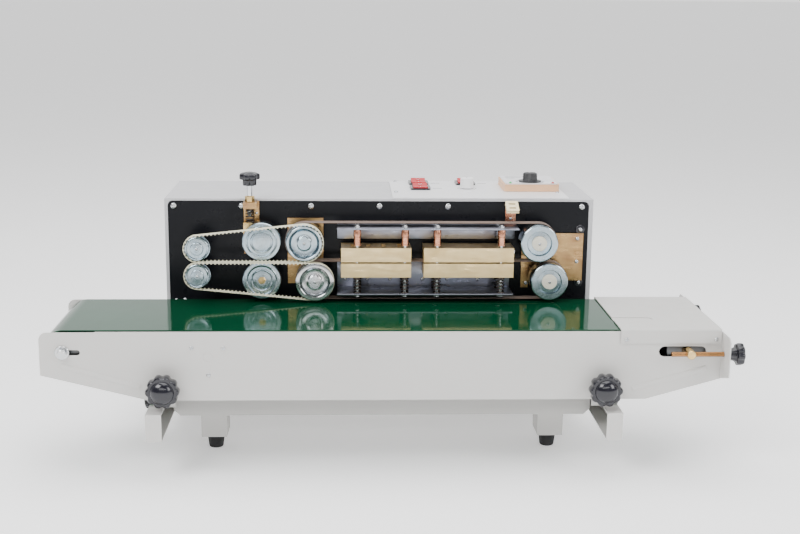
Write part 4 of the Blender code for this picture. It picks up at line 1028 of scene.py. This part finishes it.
HEIGHT_KNOB_SEAT, HEIGHT_KNOB_Z = -154.3, 110.0
CLAMP_Y, CLAMP_Z = -70.0, 68.0
for side, way in (("left", -1), ("right", 1)):
    x, z = middle(f"{side}_height_knob").x, HEIGHT_KNOB_Z
    face = HEIGHT_KNOB_SEAT
    grip = lobed([(0, -32.4, 0), (4.0, -32.0, 0), (8.0, -30.8, 0), (11.0, -29.0, 0), (13.2, -26.8, 0),
                  (14.0, -25.4, 0), (14.3, -24.6, 0.1), (15.2, -24.5, 0.2), (17.5, -24.8, 0.6),
                  (19.2, -24.0, 1), (20.0, -22.0, 1), (20.0, -12.6, 1), (19.2, -10.4, 1), (17.0, -9.2, 0.8),
                  (14.0, -9.0, 0.4), (10.4, -8.4, 0), (10.0, -7.8, 0), (10.0, -1.6, 0), (9.4, -1.0, 0),
                  (0, -1.0, 0)], (x, face, z), "Y", 10, 0.11)
    piece(f"{side}_height_grip", grip, BLACK_PLASTIC, f"{side}_height", origin=(x, face, z),
          replaces=(f"{side}_height_knob",))
    stud = lathe([(0, face - 2.0), (2.8, face - 2.0), (2.8, -142.6), (2.3, -142.0), (0, -142.0)],
                 (x, 0, z), "Y", 24)
    piece(f"{side}_height_stud", stud, SCREW_ZINC, f"{side}_height")
    box_low, box_high = low(f"{side}_arm_knob"), high(f"{side}_arm_knob")
    tip, inner = (box_low.x, box_high.x) if side == "left" else (box_high.x, box_low.x)
    layers = [(0, 0.2, 0), (5.0, 0.3, 0), (6.4, 0.9, 0.2), (10.6, 1.4, 0.8), (12.2, 2.6, 1), (12.5, 4.0, 1),
              (12.2, 6.6, 1), (10.8, 7.9, 0.8), (7.0, 8.6, 0.2), (6.2, 9.4, 0), (5.9, 17.4, 0), (0, 17.4, 0)]
    grip = lobed([(r, tip - way * t, share) for r, t, share in layers], (0, CLAMP_Y, CLAMP_Z), "X", 7,
                 0.14)
    piece(f"{side}_arm_grip", grip, BLACK_PLASTIC, f"{side}_clamp", origin=(tip, CLAMP_Y, CLAMP_Z),
          replaces=(f"{side}_arm_knob",))
    stud = lathe([(0, tip - way * 16.0), (2.8, tip - way * 16.0), (2.8, inner + way * 0.5), (2.4, inner),
                  (0, inner)], (0, CLAMP_Y, CLAMP_Z), "X", 24)
    piece(f"{side}_arm_stud", stud, SCREW_ZINC, f"{side}_clamp")


# ---------------------------------------------------------------- floor, light and camera

def softbox(name, place_m, target, size, power):
    """A rectangular studio light, placed and aimed in metres."""
    light = bpy.data.lights.new(name, "AREA")
    light.shape = "RECTANGLE"
    light.size, light.size_y = size
    light.energy = power
    obj = bpy.data.objects.new(name, light)
    obj.location = place_m
    obj.rotation_euler = (Vector(target) - Vector(place_m)).to_track_quat("-Z", "Y").to_euler()
    bpy.context.scene.collection.objects.link(obj)


FLOOR_WHITE = (0.93, 0.93, 0.935)
floor_mat, floor_tree, floor_bsdf = shader("floor_white", FLOOR_WHITE, 0.7)
varied(floor_tree, floor_bsdf, FLOOR_WHITE, 0.006, 1.5)
floor_bsdf.inputs["Emission Color"].default_value = (1, 1, 1, 1)
floor_bsdf.inputs["Emission Strength"].default_value = 0.38
floor_mesh = bpy.data.meshes.new("floor")
span = 300.0
floor_mesh.from_pydata([(-span, -span, 0), (span, -span, 0), (span, span, 0), (-span, span, 0)], [],
                       [(0, 1, 2, 3)])
floor_mesh.materials.append(floor_mat)
floor = bpy.data.objects.new("floor", floor_mesh)
bpy.context.scene.collection.objects.link(floor)

world = bpy.data.worlds.new("studio")
world.use_nodes = True
sky = world.node_tree
background = sky.nodes["Background"]
where = add(sky, "ShaderNodeTexCoord")
axes = add(sky, "ShaderNodeSeparateXYZ")
sky.links.new(where.outputs["Generated"], axes.inputs[0])
share = add(sky, "ShaderNodeMapRange")
share.inputs["From Min"].default_value = -0.5
share.inputs["From Max"].default_value = 0.7
sky.links.new(axes.outputs["Y"], share.inputs["Value"])
wall = ramp(sky, share.outputs["Result"], [(0.0, 0.16), (0.35, 0.36), (0.75, 1.0)])
sky.links.new(wall, background.inputs["Color"])
background.inputs["Strength"].default_value = 1.5
bpy.context.scene.world = world
softbox("key", (-1.3, -1.2, 1.8), (0, 0, 0.15), (1.3, 1.0), 46)
softbox("fill", (1.6, -1.2, 1.1), (0, 0, 0.15), (0.8, 1.0), 20)
softbox("top", (0.1, 0.1, 2.3), (0, 0, 0.2), (2.2, 1.8), 54)
softbox("front_card", (0.0, -2.3, 1.2), (0, 0, 0.2), (2.2, 0.35), 15)

CAMERA_PLACE = Vector((-59.5, -1583.9, 569.0))
YAW, PITCH, ROLL = (math.radians(angle) for angle in (2.604, 12.304, 0.605))
forward = Vector((math.sin(YAW) * math.cos(PITCH), math.cos(YAW) * math.cos(PITCH), -math.sin(PITCH)))
level = Vector((math.cos(YAW), -math.sin(YAW), 0))
lift = level.cross(forward)
right = level * math.cos(ROLL) + lift * math.sin(ROLL)
up = lift * math.cos(ROLL) - level * math.sin(ROLL)
camera_data = bpy.data.cameras.new("camera")
camera_data.sensor_width = 36.0
camera_data.lens = 56.0
camera = bpy.data.objects.new("camera", camera_data)
turned_to = Matrix((right, up, -forward)).transposed().to_4x4()
camera.matrix_world = Matrix.Translation(CAMERA_PLACE * MM) @ turned_to
bpy.context.scene.collection.objects.link(camera)
bpy.context.scene.camera = camera
